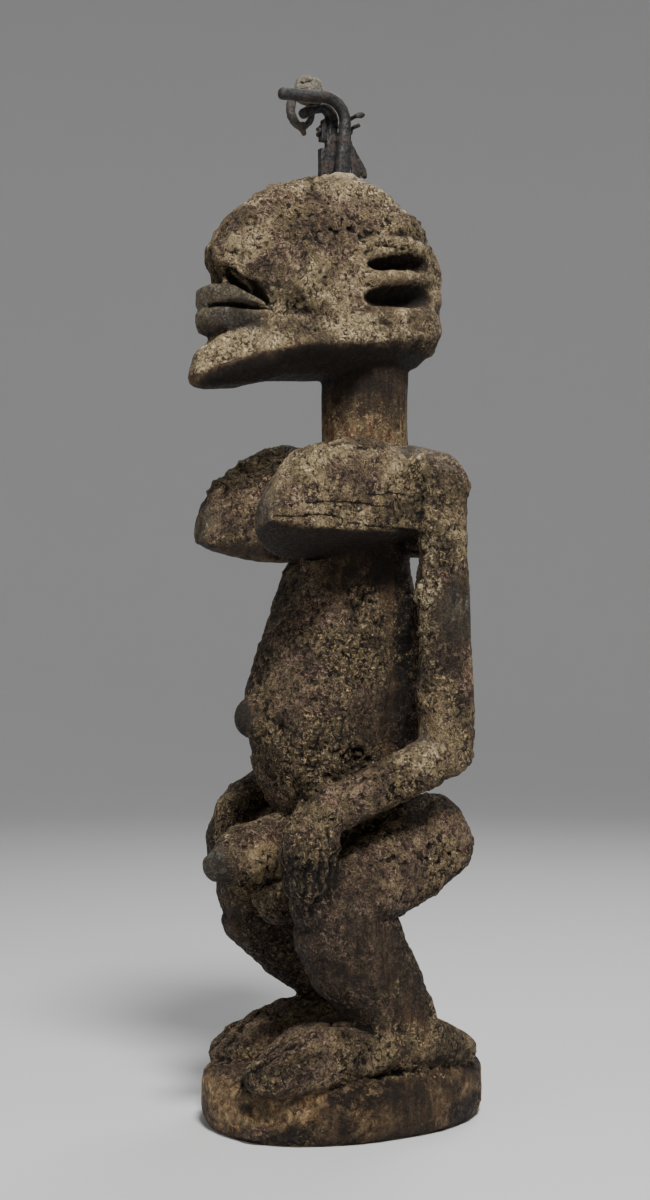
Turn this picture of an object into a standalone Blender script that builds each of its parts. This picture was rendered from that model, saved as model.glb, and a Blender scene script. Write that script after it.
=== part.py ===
"""Carved standing figure with bent knees on an oval plinth, with forged iron hooks set in its crown.

The figure and its plinth are one block of wood. It faces -Y and its left side is +X.
The origin is the middle of the plinth's flat underside. Sizes below are in millimetres; the model is in metres.
"""

import math

import bmesh
import bpy
from mathutils import Matrix, Vector

MM = 0.001

# Driving dimensions, in millimetres.
PLINTH_LENGTH = 174.0
PLINTH_WIDTH = 134.0
PLINTH_HEIGHT = 36.0
PLINTH_TOP_EDGE = 12.0
PLINTH_FOOT_EDGE = 8.5
CROWN_Z = 558.5
NECK_Y = 15.5
NECK_RADIUS = 26.0
ARM_X = 61.5
LEG_X = 40.0
HEAD_HALF_WIDTH = 36.0

# Middle y, middle z and half height of the two slots in each ear.
EAR_SLOTS = ((20.0, 508.5, 6.5), (18.0, 488.5, 8.5))
EAR_SLOT_HALF_LENGTH = 27.0

CARVING_VOXEL = 2.2
CARVING_SMOOTHING = 4
CARVING_TRIANGLES = 7600

SOCKET_Y = -3.0
SOCKET_RADIUS = 13.0
SOCKET_DEPTH = 24.0
SOCKET_SLOPE = 0.1
SOCKET_CUT_LENGTH = 60.0
FIT_GAP = 0.35

HOOK_RADIUS = 3.6
HOOK_Y = 1.4
HOOK_BAR_Z = 608.5
HOOK_BAR_END_Y = -41.5
HOOK_BEND = 13.0

BLADE_X = -9.4
BLADE_Y = -5.4
BLADE_HALF_THICKNESS = 2.4
BLADE_BEND = 6.5
BLADE_BAR_Z = 605.5

WIRE_RADIUS = 1.25
PENDANT_WIRE_Z = 593.0
PENDANT_WIRE_Y = HOOK_Y + HOOK_RADIUS + WIRE_RADIUS + 0.5
PENDANTS = (
    ("pendant_front", -5.5, 30.0, 12.0),
    ("pendant_rear", -8.9, 27.0, 29.0),
)

PACKET_CENTRE = (-9.8, -18.5, 614.0)
PACKET_HALF_SIZE = (5.2, 9.4, 8.4)
STRAP_X = -14.6


# ---------------------------------------------------------------- helpers


def clear_scene():
    for old in list(bpy.data.objects):
        bpy.data.objects.remove(old)


def collection(name):
    made = bpy.data.collections.new(name)
    bpy.context.scene.collection.children.link(made)
    return made


def material(name, colour, roughness, metallic=0.0):
    made = bpy.data.materials.new(name)
    made.use_nodes = True
    shader = made.node_tree.nodes["Principled BSDF"]
    shader.inputs["Base Color"].default_value = (*colour, 1.0)
    shader.inputs["Roughness"].default_value = roughness
    shader.inputs["Metallic"].default_value = metallic
    return made


def new_object(name, mesh, home):
    made = bpy.data.objects.new(name, mesh)
    home.objects.link(made)
    return made


def power_oval(half_width, half_depth, power, count):
    """Points of a rounded rectangle: power 2 is an ellipse, more is squarer."""
    points = []
    for i in range(count):
        turn = 2 * math.pi * i / count
        c, s = math.cos(turn), math.sin(turn)
        points.append(
            (
                half_width * math.copysign(abs(c) ** (2 / power), c),
                half_depth * math.copysign(abs(s) ** (2 / power), s),
            )
        )
    return points


def mesh_of_rings(name, rings):
    """A closed skin over rings of equal length, in millimetres."""
    work = bmesh.new()
    rows = [[work.verts.new(Vector(p) * MM) for p in ring] for ring in rings]
    count = len(rows[0])
    for lower, upper in zip(rows, rows[1:]):
        for i in range(count):
            j = (i + 1) % count
            work.faces.new((lower[i], lower[j], upper[j], upper[i]))
    work.faces.new(list(reversed(rows[0])))
    work.faces.new(rows[-1])
    bmesh.ops.recalc_face_normals(work, faces=work.faces)
    mesh = bpy.data.meshes.new(name)
    work.to_mesh(mesh)
    work.free()
    return mesh


def level_loft(name, levels, home, count=32, back_power=None):
    """A skin over level ovals. Each level is (z, front y, back y, half width, power), at x 0.

    The half that faces back can be squarer than the front half.
    """
    rings = []
    for z, front, back, half_width, power in levels:
        middle = (front + back) / 2
        oval = power_oval(half_width, (back - front) / 2, power, count)
        behind = power_oval(half_width, (back - front) / 2, back_power or power, count)
        ring = [late if late[1] > 0 else early for early, late in zip(oval, behind)]
        rings.append([(x, middle + y, z) for x, y in ring])
    return new_object(name, mesh_of_rings(name, rings), home)


def front_loft(name, stations, home, count=32):
    """A skin over upright ovals along y. Each station is (y, low z, high z, half width, power), at x 0."""
    rings = []
    for y, low, high, half_width, power in stations:
        middle = (low + high) / 2
        oval = power_oval(half_width, (high - low) / 2, power, count)
        rings.append([(x, y, middle + z) for x, z in oval])
    return new_object(name, mesh_of_rings(name, rings), home)


def limb(name, stations, home, side=1, count=24, rounded=True):
    """A skin along a path. Each station is (x, y, z, half width, half thickness, power).

    Half width is measured across the body, half thickness in the plane that the path bends in.
    """
    points = [Vector((side * s[0], s[1], s[2])) for s in stations]
    frames = []
    for i, point in enumerate(points):
        ahead = points[min(i + 1, len(points) - 1)] - points[max(i - 1, 0)]
        along = ahead.normalized()
        across = Vector((1, 0, 0)) - along * along.x
        across.normalize()
        frames.append((point, along, across, along.cross(across)))
    rings = []

    def ring(index, shrink, shift):
        point, along, across, up = frames[index]
        half_width, half_thickness, power = stations[index][3:6]
        centre = point + along * shift
        oval = power_oval(half_width * shrink, half_thickness * shrink, power, count)
        return [centre + across * a + up * b for a, b in oval]

    last = len(stations) - 1
    cap_steps = (80, 60, 35) if rounded else ()
    for angle in cap_steps:
        reach = 0.7 * min(stations[0][3:5])
        turn = math.radians(angle)
        rings.append(ring(0, math.cos(turn), -reach * math.sin(turn)))
    rings += [ring(i, 1.0, 0.0) for i in range(last + 1)]
    for angle in reversed(cap_steps):
        reach = 0.7 * min(stations[last][3:5])
        turn = math.radians(angle)
        rings.append(ring(last, math.cos(turn), reach * math.sin(turn)))
    return new_object(name, mesh_of_rings(name, rings), home)


def ball(name, centre, radii, home, tilt=0.0):
    """An ellipsoid, tilted about X by tilt degrees."""
    work = bmesh.new()
    bmesh.ops.create_uvsphere(work, u_segments=28, v_segments=18, radius=1.0)
    stretch = Matrix.Diagonal((*(r * MM for r in radii), 1.0))
    turn = Matrix.Rotation(math.radians(tilt), 4, "X")
    place = Matrix.Translation(Vector(centre) * MM)
    bmesh.ops.transform(work, matrix=place @ turn @ stretch, verts=work.verts)
    mesh = bpy.data.meshes.new(name)
    work.to_mesh(mesh)
    work.free()
    return new_object(name, mesh, home)


def block(name, centre, sizes, home, turn=(0.0, 0.0, 0.0)):
    """A box with edges sizes, turned by degrees about X, Y and Z."""
    work = bmesh.new()
    bmesh.ops.create_cube(work, size=1.0)
    stretch = Matrix.Diagonal((*(s * MM for s in sizes), 1.0))
    spin = Matrix.Identity(4)
    for angle, axis in zip(turn, "XYZ"):
        spin = Matrix.Rotation(math.radians(angle), 4, axis) @ spin
    place = Matrix.Translation(Vector(centre) * MM)
    bmesh.ops.transform(work, matrix=place @ spin @ stretch, verts=work.verts)
    mesh = bpy.data.meshes.new(name)
    work.to_mesh(mesh)
    work.free()
    return new_object(name, mesh, home)


def add_boolean(target, other, operation):
    cut = target.modifiers.new(f"{operation.lower()}_{other.name}", "BOOLEAN")
    cut.operation = operation
    cut.solver = "EXACT"
    cut.object = other
    return cut


def make_helper(obj):
    obj.hide_render = True
    obj.display_type = "WIRE"


def evaluated_mesh(obj):
    graph = bpy.context.evaluated_depsgraph_get()
    return bpy.data.meshes.new_from_object(obj.evaluated_get(graph))


def joined(name, pieces, home):
    """One object holding the evaluated skins of several, which are then removed."""
    bpy.context.view_layer.update()
    work = bmesh.new()
    for piece in pieces:
        mesh = evaluated_mesh(piece)
        mesh.transform(piece.matrix_world)
        work.from_mesh(mesh)
        bpy.data.meshes.remove(mesh)
    mesh = bpy.data.meshes.new(name)
    work.to_mesh(mesh)
    work.free()
    for piece in pieces:
        bpy.data.objects.remove(piece)
    return new_object(name, mesh, home)


# ---------------------------------------------------------------- the carving


def plinth(home):
    """A thick oval slab with worn, rounded edges. It starts below the floor plane and is cut flat later."""
    half_width, half_length = PLINTH_WIDTH / 2, PLINTH_LENGTH / 2
    outline = []
    for angle in range(15, 91, 15):
        turn = math.radians(angle)
        outline.append((14.0 * (1 - math.cos(turn)) - 1.5, PLINTH_FOOT_EDGE * (1 - math.sin(turn))))
    for angle in range(90, 14, -15):
        turn = math.radians(angle)
        rise = 0.9 * PLINTH_TOP_EDGE * (1 - math.sin(turn))
        outline.append((PLINTH_HEIGHT - 11.0 + 11.0 * math.cos(turn), 1.25 * rise))
    levels = [(z, -half_length + inset, half_length - inset, half_width - inset, 2.2) for z, inset in outline]
    return level_loft("plinth_lump", levels, home, count=48)


def torso(home):
    levels = [
        (150, -22, 38, 34, 2.4),
        (172, -30, 42, 38, 2.4),
        (187, -43, 42, 41, 2.3),
        (208, -53, 41, 43, 2.2),
        (228, -58, 41, 44, 2.2),
        (256, -58, 41, 44, 2.2),
        (282, -51, 41, 43, 2.2),
        (299, -43, 40, 42, 2.3),
        (315, -36, 38, 40, 2.4),
        (332, -27, 36, 39, 2.5),
        (348, -22, 38, 39, 2.5),
        (375, -18, 41, 45, 2.6),
        (390, -10, 41, 44, 2.6),
    ]
    return level_loft("torso_lump", levels, home)


def neck(home):
    front, back = NECK_Y - NECK_RADIUS, NECK_Y + NECK_RADIUS
    levels = [
        (376, front - 3, back + 3, NECK_RADIUS + 3, 2.1),
        (400, front, back, NECK_RADIUS, 2.1),
        (440, front, back, NECK_RADIUS, 2.1),
        (470, front, back, NECK_RADIUS, 2.1),
    ]
    return level_loft("neck_lump", levels, home)


def shoulders(home):
    """The yoke that joins both arms across the back of the chest."""
    across = [
        (-ARM_X - 8, 31, 373, 13, 11, 2.6),
        (-ARM_X + 2, 30, 379, 15.5, 14, 2.6),
        (-ARM_X + 20, 27, 382, 16, 16, 2.6),
        (0, 20, 384, 22, 17, 2.4),
        (ARM_X - 20, 27, 382, 16, 16, 2.6),
        (ARM_X - 2, 30, 379, 15.5, 14, 2.6),
        (ARM_X + 8, 31, 373, 13, 11, 2.6),
    ]
    rings = []
    for x, y, z, half_depth, half_height, power in across:
        oval = power_oval(half_depth, half_height, power, 24)
        rings.append([(x, y + a, z + b) for a, b in oval])
    return new_object("yoke_lump", mesh_of_rings("yoke_lump", rings), home)


def breast(home, side):
    """A long wedge with a domed top and an underside that slopes down and in from a crisp outer edge.

    The right one is a little deeper.

    Each station is (y, middle x, half width, top z, outer edge z, inner edge z).
    """
    heavier = 1.0 if side < 0 else 0.0
    stations = [
        (26, 32, 27, 394, 348, 340),
        (2, 33, 29, 401, 347, 337),
        (-22, 33, 30, 401, 345, 334),
        (-38, 34, 29, 397, 345, 333),
        (-50, 35, 27, 391, 345, 334),
        (-62, 37, 22, 380, 346, 337),
        (-70, 38, 16, 369, 348, 342),
        (-76, 39, 9, 360, 351, 347),
    ]
    count = 28
    rings = []
    for i, (y, middle, half, top, outer, inner) in enumerate(stations):
        share = i / (len(stations) - 1)
        lift = 3.0 * heavier * (1 - share)
        sag = 4.0 * heavier * share
        ring = []
        for k in range(count):
            turn = 2 * math.pi * k / count
            c, s = math.cos(turn), math.sin(turn)
            across = math.copysign(abs(c) ** 0.8, c)
            edge = inner + (outer - inner) * (across + 1) / 2 - sag
            if s >= 0:
                z = edge + (top + lift - edge) * s**0.85
            else:
                z = edge + 2.5 * s
            ring.append((side * (middle + half * across), y, z))
        rings.append(ring)
    return new_object("breast_lump", mesh_of_rings("breast_lump", rings), home)


def arm(home, side):
    """Upper arm straight down the side, forearm forward to the knee, and the hand hanging over it."""
    upper = [
        (ARM_X - 0.5, 29.0, 378, 12, 14, 3.0),
        (ARM_X, 29.5, 340, 12, 14.5, 3.0),
        (ARM_X + 0.5, 31, 280, 12, 15.5, 3.0),
        (ARM_X + 1, 33, 226, 13, 17, 2.8),
    ]
    fore = [
        (ARM_X + 1, 34, 219, 13, 15, 2.5),
        (ARM_X - 1, 8, 209, 13, 13.5, 2.4),
        (ARM_X - 5, -18, 197, 13, 13, 2.4),
        (ARM_X - 11, -42, 186, 12.5, 12.5, 2.4),
    ]
    hand = [
        (ARM_X - 12, -46, 184, 12.5, 12, 2.8),
        (ARM_X - 14, -50, 165, 14.5, 14.5, 3.2),
        (ARM_X - 15, -51, 145, 13.5, 13, 3.2),
    ]
    web_x = side * (ARM_X - 17)
    return [
        limb("upper_arm_lump", upper, home, side),
        ball("elbow_lump", (side * (ARM_X + 1), 34, 223), (13, 17.5, 18), home),
        limb("forearm_lump", fore, home, side),
        limb("hand_lump", hand, home, side),
        block("arm_web_lump", (web_x, 26, 258), (22, 13, 104), home),
        block("armpit_lump", (web_x, 26, 356), (22, 16, 46), home),
    ]


def leg(home, side):
    """Thigh back to the buttock, shin slanting back down to the ankle, and a broad thick foot.

    The left foot is thicker and longer than the right one, and the right ankle is slimmer in front.
    """
    knee_y = -41 if side > 0 else -47
    slim = 0 if side > 0 else 9
    thigh = [
        (LEG_X + 1, 45, 172, 20, 25, 2.2),
        (LEG_X + 1, 18, 158, 23, 27, 2.2),
        (LEG_X + 1, -12, 143, 23, 24, 2.2),
        (LEG_X + 1, knee_y, 130, 21, 20, 2.2),
    ]
    shin = [
        (LEG_X + 1, knee_y + 8, 124, 21, 25, 2.4),
        (LEG_X, -15 + slim / 3, 104, 21, 31 - slim / 3, 2.5),
        (LEG_X, slim / 2, 84, 21, 27 - slim / 2, 2.6),
        (LEG_X - 1, 13 + slim, 66, 20, 22 - slim, 2.6),
        (LEG_X - 1, 16 + slim, 52, 20, 21 - slim, 2.6),
    ]
    heel = [
        (LEG_X - 4, 56, 43, 18, 9, 2.6),
        (LEG_X - 2, 44, 46, 20, 14, 2.6),
        (LEG_X - 2, 20, 49, 22, 18, 2.6),
    ]
    left_toes = [
        (LEG_X - 3, -10, 50, 24, 19, 2.5),
        (LEG_X - 5, -34, 47, 27, 18, 2.6),
        (LEG_X - 7, -52, 42, 28, 15, 2.8),
        (LEG_X - 10, -66, 38, 24, 10.5, 2.8),
        (LEG_X - 14, -74, 37, 17, 7, 2.6),
    ]
    right_toes = [
        (LEG_X - 3, -10, 48, 24, 17, 2.5),
        (LEG_X - 5, -32, 44, 26, 15, 2.6),
        (LEG_X - 7, -46, 41, 26, 12, 2.8),
        (LEG_X - 10, -57, 38, 22, 8.5, 2.8),
        (LEG_X - 13, -64, 37, 16, 6, 2.6),
    ]
    foot = heel + (left_toes if side > 0 else right_toes)
    return [
        limb("thigh_lump", thigh, home, side),
        limb("shin_lump", shin, home, side),
        limb("foot_lump", foot, home, side),
    ]


def groin(home):
    member = [
        (0, -28, 170, 15, 17, 2.2),
        (0, -50, 163, 16, 18, 2.2),
        (0, -66, 159, 16, 16.5, 2.1),
        (0, -79, 155, 13, 12.5, 2.0),
        (0, -86, 153, 9.5, 9, 2.0),
    ]
    return [
        limb("member_lump", member, home),
        ball("lap_lump", (10 - LEG_X, -24, 169), (16, 20, 16), home),
        ball("pouch_lump", (0, -44, 132), (13, 13, 14), home),
        ball("navel_lump", (0, -59, 239), (12, 13, 13), home),
    ]


def keel_loft(name, stations, home):
    """The jaw: each station is (y, keel z, keel half width, edge z, edge half width, top z, top half width)."""
    rings = []
    for y, keel, keel_half, edge, edge_half, top, top_half in stations:
        right = [(keel_half * 0.5, keel), (keel_half, keel + 0.5), (edge_half * 0.8, (keel + edge) / 2 - 1)]
        right += [(edge_half, edge), ((edge_half + top_half) / 2, (edge + top) / 2), (top_half, top)]
        left = [(-x, z) for x, z in reversed(right)]
        rings.append([(x, y, z) for x, z in right + left])
    return new_object(name, mesh_of_rings(name, rings), home)


def side_cutter(name, outline, half_width, home, middle=0.0):
    """A prism across the body with a (y, z) outline."""
    rings = []
    for x in (middle - half_width, middle + half_width):
        rings.append([(x, y, z) for y, z in outline])
    made = new_object(name, mesh_of_rings(name, rings), home)
    make_helper(made)
    return made


def skull(home, cutters):
    """The helmet-like head, cut away below the slanting brow and hollowed with two slots per ear."""
    levels = [
        (452, -50, 44, 30, 2.6),
        (464, -62, 55, 33, 2.6),
        (478, -72, 61, 35, 2.5),
        (490, -84, 62.5, HEAD_HALF_WIDTH, 2.4),
        (500, -90.5, 62.5, HEAD_HALF_WIDTH, 2.3),
        (508, -90.5, 61, HEAD_HALF_WIDTH, 2.3),
        (518, -86, 58, 35, 2.3),
        (527, -78, 52, 33, 2.3),
        (536, -67.5, 44, 30, 2.2),
        (543, -58.5, 37, 27, 2.2),
        (550, -47, 28, 22, 2.1),
        (554.5, -36, 20, 17, 2.0),
        (557.5, -23, 11, 10, 2.0),
        (CROWN_Z, -9, 5, 4, 2.0),
    ]
    made = level_loft("skull_lump", levels, home, count=40, back_power=3.0)
    below_brow = [(-110, 500), (-93, 500), (-89, 497), (-77, 489), (-61, 473), (-58, 452), (-110, 452)]
    add_boolean(made, side_cutter("under_brow", below_brow, 50, cutters), "DIFFERENCE")
    for side in (-1, 1):
        for index, (y, z, height) in enumerate(EAR_SLOTS):
            centre = (side * (HEAD_HALF_WIDTH + 1), y, z)
            slot = ball(f"ear_slot_{index}_{side}", centre, (11, EAR_SLOT_HALF_LENGTH, height), cutters, tilt=7)
            make_helper(slot)
            add_boolean(made, slot, "DIFFERENCE")
    return made


def face(home):
    """The jutting jaw, two lips one above the other, and the bridge behind them."""
    jaw = [
        (-100, 430, 3, 434, 6, 438, 4),
        (-97, 428.5, 4, 436, 9, 447, 6),
        (-92, 428, 6, 439, 13, 452, 10),
        (-84, 428.5, 8, 442, 18, 458, 15),
        (-70, 430.5, 10, 446, 25, 466, 21),
        (-46, 437.5, 13, 452, 31, 472, 29),
        (-10, 441, 17, 456, 36, 476, 34),
        (20, 444, 19, 461, 37, 480, 35),
        (42, 449, 17, 465, 34, 482, 33),
        (50, 456, 14, 468, 30, 480, 29),
        (55, 463, 11, 470, 24, 477, 22),
    ]
    upper_lip = [
        (-94, 481, 488, 5, 3),
        (-90, 480.5, 489, 10, 3),
        (-78, 480, 487, 19, 3),
        (-71, 474, 480, 23, 3),
        (-58, 464, 474, 27, 2.6),
    ]
    lower_lip = [
        (-93.5, 466, 477, 5, 3),
        (-90, 462, 477.5, 10, 3),
        (-84, 460, 477.5, 15, 3),
        (-76, 463, 477.5, 20, 3),
        (-66, 467, 475, 24, 2.8),
        (-56, 468, 473, 27, 2.6),
    ]
    return [
        keel_loft("jaw_lump", jaw, home),
        front_loft("upper_lip_lump", upper_lip, home),
        front_loft("lower_lip_lump", lower_lip, home),
        block("bridge_lump", (0, -65, 477), (20, 37, 50), home),
    ]


def carving(home, cutters, wood):
    """All lumps fused into one skin, smoothed, thinned, and cut flat below and bored at the crown."""
    lumps = [plinth(home), torso(home), neck(home), shoulders(home)]
    lumps += [skull(home, cutters)] + face(home)
    lumps += groin(home)
    for side in (-1, 1):
        lumps.append(breast(home, side))
        lumps += arm(home, side)
        lumps += leg(home, side)
    figure = joined("carved_figure", lumps, home)
    fuse = figure.modifiers.new("fuse", "REMESH")
    fuse.mode = "VOXEL"
    fuse.voxel_size = CARVING_VOXEL * MM
    soften = figure.modifiers.new("soften", "SMOOTH")
    soften.factor = 0.5
    soften.iterations = CARVING_SMOOTHING
    bpy.context.view_layer.update()
    skin = evaluated_mesh(figure)
    figure.modifiers.clear()
    figure.data = skin
    skin.name = "carved_figure"
    triangles = 2 * len(skin.polygons)
    thin = figure.modifiers.new("thin", "DECIMATE")
    thin.ratio = CARVING_TRIANGLES / triangles
    floor_cut = block("floor_cut", (0, 0, -30), (400, 400, 60), cutters)
    socket = socket_cutter("socket_cut", cutters)
    for cutter in (floor_cut, socket):
        make_helper(cutter)
        add_boolean(figure, cutter, "DIFFERENCE")
    figure.data.materials.append(wood)
    return figure


def socket_cutter(name, home):
    """The round socket in the crown, widening upwards."""
    low = CROWN_Z - SOCKET_DEPTH
    narrow, wide = SOCKET_RADIUS, SOCKET_RADIUS + SOCKET_SLOPE * SOCKET_CUT_LENGTH
    levels = [
        (low, SOCKET_Y - narrow, SOCKET_Y + narrow, narrow, 2.0),
        (low + SOCKET_CUT_LENGTH, SOCKET_Y - wide, SOCKET_Y + wide, wide, 2.0),
    ]
    return level_loft(name, levels, home)


# ---------------------------------------------------------------- irons, packing and amulet


def arc(centre_y, centre_z, radius, start, stop, steps):
    """Points in the YZ plane, angles in degrees from +Y towards +Z."""
    points = []
    for i in range(steps + 1):
        turn = math.radians(start + (stop - start) * i / steps)
        points.append((centre_y + radius * math.cos(turn), centre_z + radius * math.sin(turn)))
    return points


def main_hook(home, iron, grow=0.0):
    """A round bar bent forward at the top; its tang is hammered flat and wider."""
    r = HOOK_RADIUS
    stations = [
        (0, HOOK_Y, 541 - grow, 2.2 + grow, 4.2 + grow, 2.8),
        (0, HOOK_Y, 552, 2.8 + grow, 6.0 + grow, 2.8),
        (0, HOOK_Y, 566, 3.0 + grow, 5.4 + grow, 2.6),
        (0, HOOK_Y, 580, r + grow, 4.0 + grow, 2.2),
        (0, HOOK_Y, HOOK_BAR_Z - HOOK_BEND - 4, r + grow, r + grow, 2.1),
    ]
    for y, z in arc(HOOK_Y - HOOK_BEND, HOOK_BAR_Z - HOOK_BEND, HOOK_BEND, 0, 90, 8):
        stations.append((0, y, z, r + grow, r + grow, 2.1))
    stations += [
        (0, -24, HOOK_BAR_Z - 1.3, r + grow, r + grow, 2.1),
        (0, HOOK_BAR_END_Y, HOOK_BAR_Z - 3.0, r + grow, r + grow, 2.1),
    ]
    made = limb("main_hook", stations, home, count=16)
    made.data.materials.append(iron)
    return made


def second_hook(home, iron, grow=0.0):
    """A flat notched blade whose top is drawn out to a round bar, bent forward and drooping."""
    t = BLADE_HALF_THICKNESS + grow
    x, y = BLADE_X, BLADE_Y
    bend = BLADE_BEND
    stations = [
        (x, y, 541 - grow, t, 4.0 + grow, 3.4),
        (x, y, 553, t, 5.2 + grow, 3.4),
        (x, y, 578, t, 5.2 + grow, 3.4),
        (x, y + 1.8, 579.4, t, 3.4 + grow, 3.4),
        (x, y + 1.8, 583.0, t, 3.4 + grow, 3.4),
        (x, y + 1.2, 584.4, t, 6.4 + grow, 3.4),
        (x, y + 1.6, 592.0, t, 6.4 + grow, 3.4),
    ]
    for i, (py, pz) in enumerate(arc(y + 2.8 - bend, BLADE_BAR_Z - bend, bend, 0, 90, 6)):
        blend = i / 6
        stations.append((x, py, pz, t + 0.7 * blend, 4.8 - 1.7 * blend + grow, 3.0 - 0.8 * blend))
    stations += [
        (x, y - 8.5, BLADE_BAR_Z - 1.3, 3.1 + grow, 3.1 + grow, 2.1),
        (x, y - 13.0, BLADE_BAR_Z - 3.6, 3.1 + grow, 3.1 + grow, 2.1),
        (x, y - 17.0, BLADE_BAR_Z - 6.2, 3.0 + grow, 3.0 + grow, 2.1),
    ]
    made = limb("second_hook", stations, home, count=16)
    made.data.materials.append(iron)
    return made


def wire(name, points, radii, home):
    """A round wire along points in millimetres, with closed ends."""
    curve = bpy.data.curves.new(name, "CURVE")
    curve.dimensions = "3D"
    curve.bevel_depth = MM
    curve.bevel_resolution = 2
    curve.resolution_u = 3
    curve.use_fill_caps = True
    spline = curve.splines.new("BEZIER")
    spline.bezier_points.add(len(points) - 1)
    for knot, point, radius in zip(spline.bezier_points, points, radii):
        knot.co = Vector(point) * MM
        knot.radius = radius
        knot.handle_left_type = "AUTO"
        knot.handle_right_type = "AUTO"
    draft = new_object(name + "_draft", curve, home)
    bpy.context.view_layer.update()
    mesh = evaluated_mesh(draft)
    bpy.data.objects.remove(draft)
    work = bmesh.new()
    work.from_mesh(mesh)
    bmesh.ops.remove_doubles(work, verts=work.verts, dist=0.000001)
    bmesh.ops.recalc_face_normals(work, faces=work.faces)
    work.to_mesh(mesh)
    work.free()
    return new_object(name, mesh, home)


def binding_ring(home, iron):
    """A wire hairpin clipped round the blade's front edge, both ends carried back behind the round bar."""
    far = BLADE_X - BLADE_HALF_THICKNESS - 0.5 - WIRE_RADIUS
    front = BLADE_Y + 1.2 - 6.4 - 0.5 - WIRE_RADIUS
    run_y, run_z = PENDANT_WIRE_Y, PENDANT_WIRE_Z
    thick = WIRE_RADIUS
    path = [
        (5.6, 9.8, 599.6, 1.0),
        (4.6, 8.8, 599.8, 2.3),
        (3.0, 7.9, 599.7, 2.2),
        (0.6, 7.4, 599.5, thick),
        (-4.0, 7.0, 599.3, thick),
        (-9.4, 6.6, 598.8, thick),
        (far + 1.0, 4.5, 597.2, thick),
        (far, 0.0, 594.4, thick),
        (far, -6.0, 591.6, thick),
        (far + 0.9, front + 2.0, 590.0, thick),
        (BLADE_X, front, 589.4, thick),
        (BLADE_X + 2.0, front + 0.5, 587.8, thick),
        (BLADE_X, front, 586.2, thick),
        (far + 0.9, front + 2.0, 586.2, thick),
        (far, -6.0, 587.4, thick),
        (far, 0.5, 590.4, thick),
        (far + 1.2, 5.0, 592.4, thick),
        (far + 3.6, run_y, run_z, thick),
        (-5.0, run_y, run_z, thick),
        (0, run_y, run_z, thick),
        (2.6, run_y + 0.8, run_z + 0.4, thick),
        (4.4, run_y + 2.6, run_z + 1.4, thick),
    ]
    made = wire("binding_ring", [q[:3] for q in path], [q[3] for q in path], home)
    made.data.materials.append(iron)
    return made


def pendant(name, x, length, tilt, home, iron):
    """A flat drop on a wire eye. Its origin is on the ring's wire, which it swings about."""
    eye_radius, eye_wire = 2.6, 0.95
    outline = [(0.4, 0.9, 0.7), (-2.5, 1.3, 0.95), (-5.5, 1.8, 1.0), (-12, 2.7, 1.15), (-20, 3.4, 1.2)]
    outline += [(-length + 7, 3.5, 1.2), (-length + 3, 2.8, 1.1), (-length, 1.3, 0.8)]
    rings = []
    for drop, half_depth, half_thickness in outline:
        oval = power_oval(half_thickness, half_depth, 2.4, 14)
        rings.append([(a, b, drop - eye_radius) for a, b in oval])
    body = new_object(name + "_body", mesh_of_rings(name + "_body", rings), home)
    work = bmesh.new()
    turns, sides = 18, 8
    rows = []
    for i in range(turns):
        around = 2 * math.pi * i / turns
        row = []
        for k in range(sides):
            angle = 2 * math.pi * k / sides
            reach = eye_radius + eye_wire * math.cos(angle)
            point = (eye_wire * math.sin(angle), reach * math.cos(around), reach * math.sin(around))
            row.append(work.verts.new(Vector(point) * MM))
        rows.append(row)
    for i in range(turns):
        for k in range(sides):
            ahead, beside = (i + 1) % turns, (k + 1) % sides
            work.faces.new((rows[i][k], rows[ahead][k], rows[ahead][beside], rows[i][beside]))
    bmesh.ops.recalc_face_normals(work, faces=work.faces)
    mesh = bpy.data.meshes.new(name)
    work.to_mesh(mesh)
    work.free()
    made = new_object(name, mesh, home)
    make_helper(body)
    add_boolean(made, body, "UNION")
    bpy.context.view_layer.update()
    skin = evaluated_mesh(made)
    made.modifiers.clear()
    bpy.data.objects.remove(body)
    skin.transform(Matrix.Rotation(math.radians(tilt), 4, "X"))
    made.data = skin
    made.location = Vector((x, PENDANT_WIRE_Y, PENDANT_WIRE_Z)) * MM
    made.data.materials.append(iron)
    return made


def crown_packing(home, cutters, paste):
    """Hardened paste that fills the socket and mounds up round both tangs."""
    radius = SOCKET_RADIUS - FIT_GAP
    low = CROWN_Z - SOCKET_DEPTH + FIT_GAP
    top = CROWN_Z - 1.5
    edge = radius + SOCKET_SLOPE * (top - low)
    levels = [
        (low, SOCKET_Y - radius, SOCKET_Y + radius, radius, 2.0),
        (top, SOCKET_Y - edge, SOCKET_Y + edge, edge, 2.0),
        (top + 1.8, SOCKET_Y - edge + 1.5, SOCKET_Y + edge - 1.5, edge - 1.5, 2.0),
        (top + 3.0, SOCKET_Y - edge + 4.5, SOCKET_Y + edge - 4.5, edge - 4.5, 2.0),
    ]
    made = level_loft("crown_packing", levels, home, count=28)
    made.data.materials.append(paste)
    for maker in (main_hook, second_hook):
        cutter = maker(cutters, paste, FIT_GAP)
        cutter.name = maker.__name__ + "_clearance"
        make_helper(cutter)
        add_boolean(made, cutter, "DIFFERENCE")
    return made


def packet_skin(name, home, grow=0.0):
    x, y, z = PACKET_CENTRE
    a, b, c = (half + grow for half in PACKET_HALF_SIZE)
    rings = []
    shares = ((-1, 0.62, 0.6), (-0.8, 0.86, 0.4), (-0.3, 1.0, 0), (0.3, 0.97, 0.2), (0.75, 0.86, 0.6), (1, 0.6, 0.9))
    for share, spread, lean in shares:
        oval = power_oval(a * spread, b * spread, 3.0, 24)
        rings.append([(x + px, y + lean + py, z + c * share) for px, py in oval])
    return new_object(name, mesh_of_rings(name, rings), home)


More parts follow.
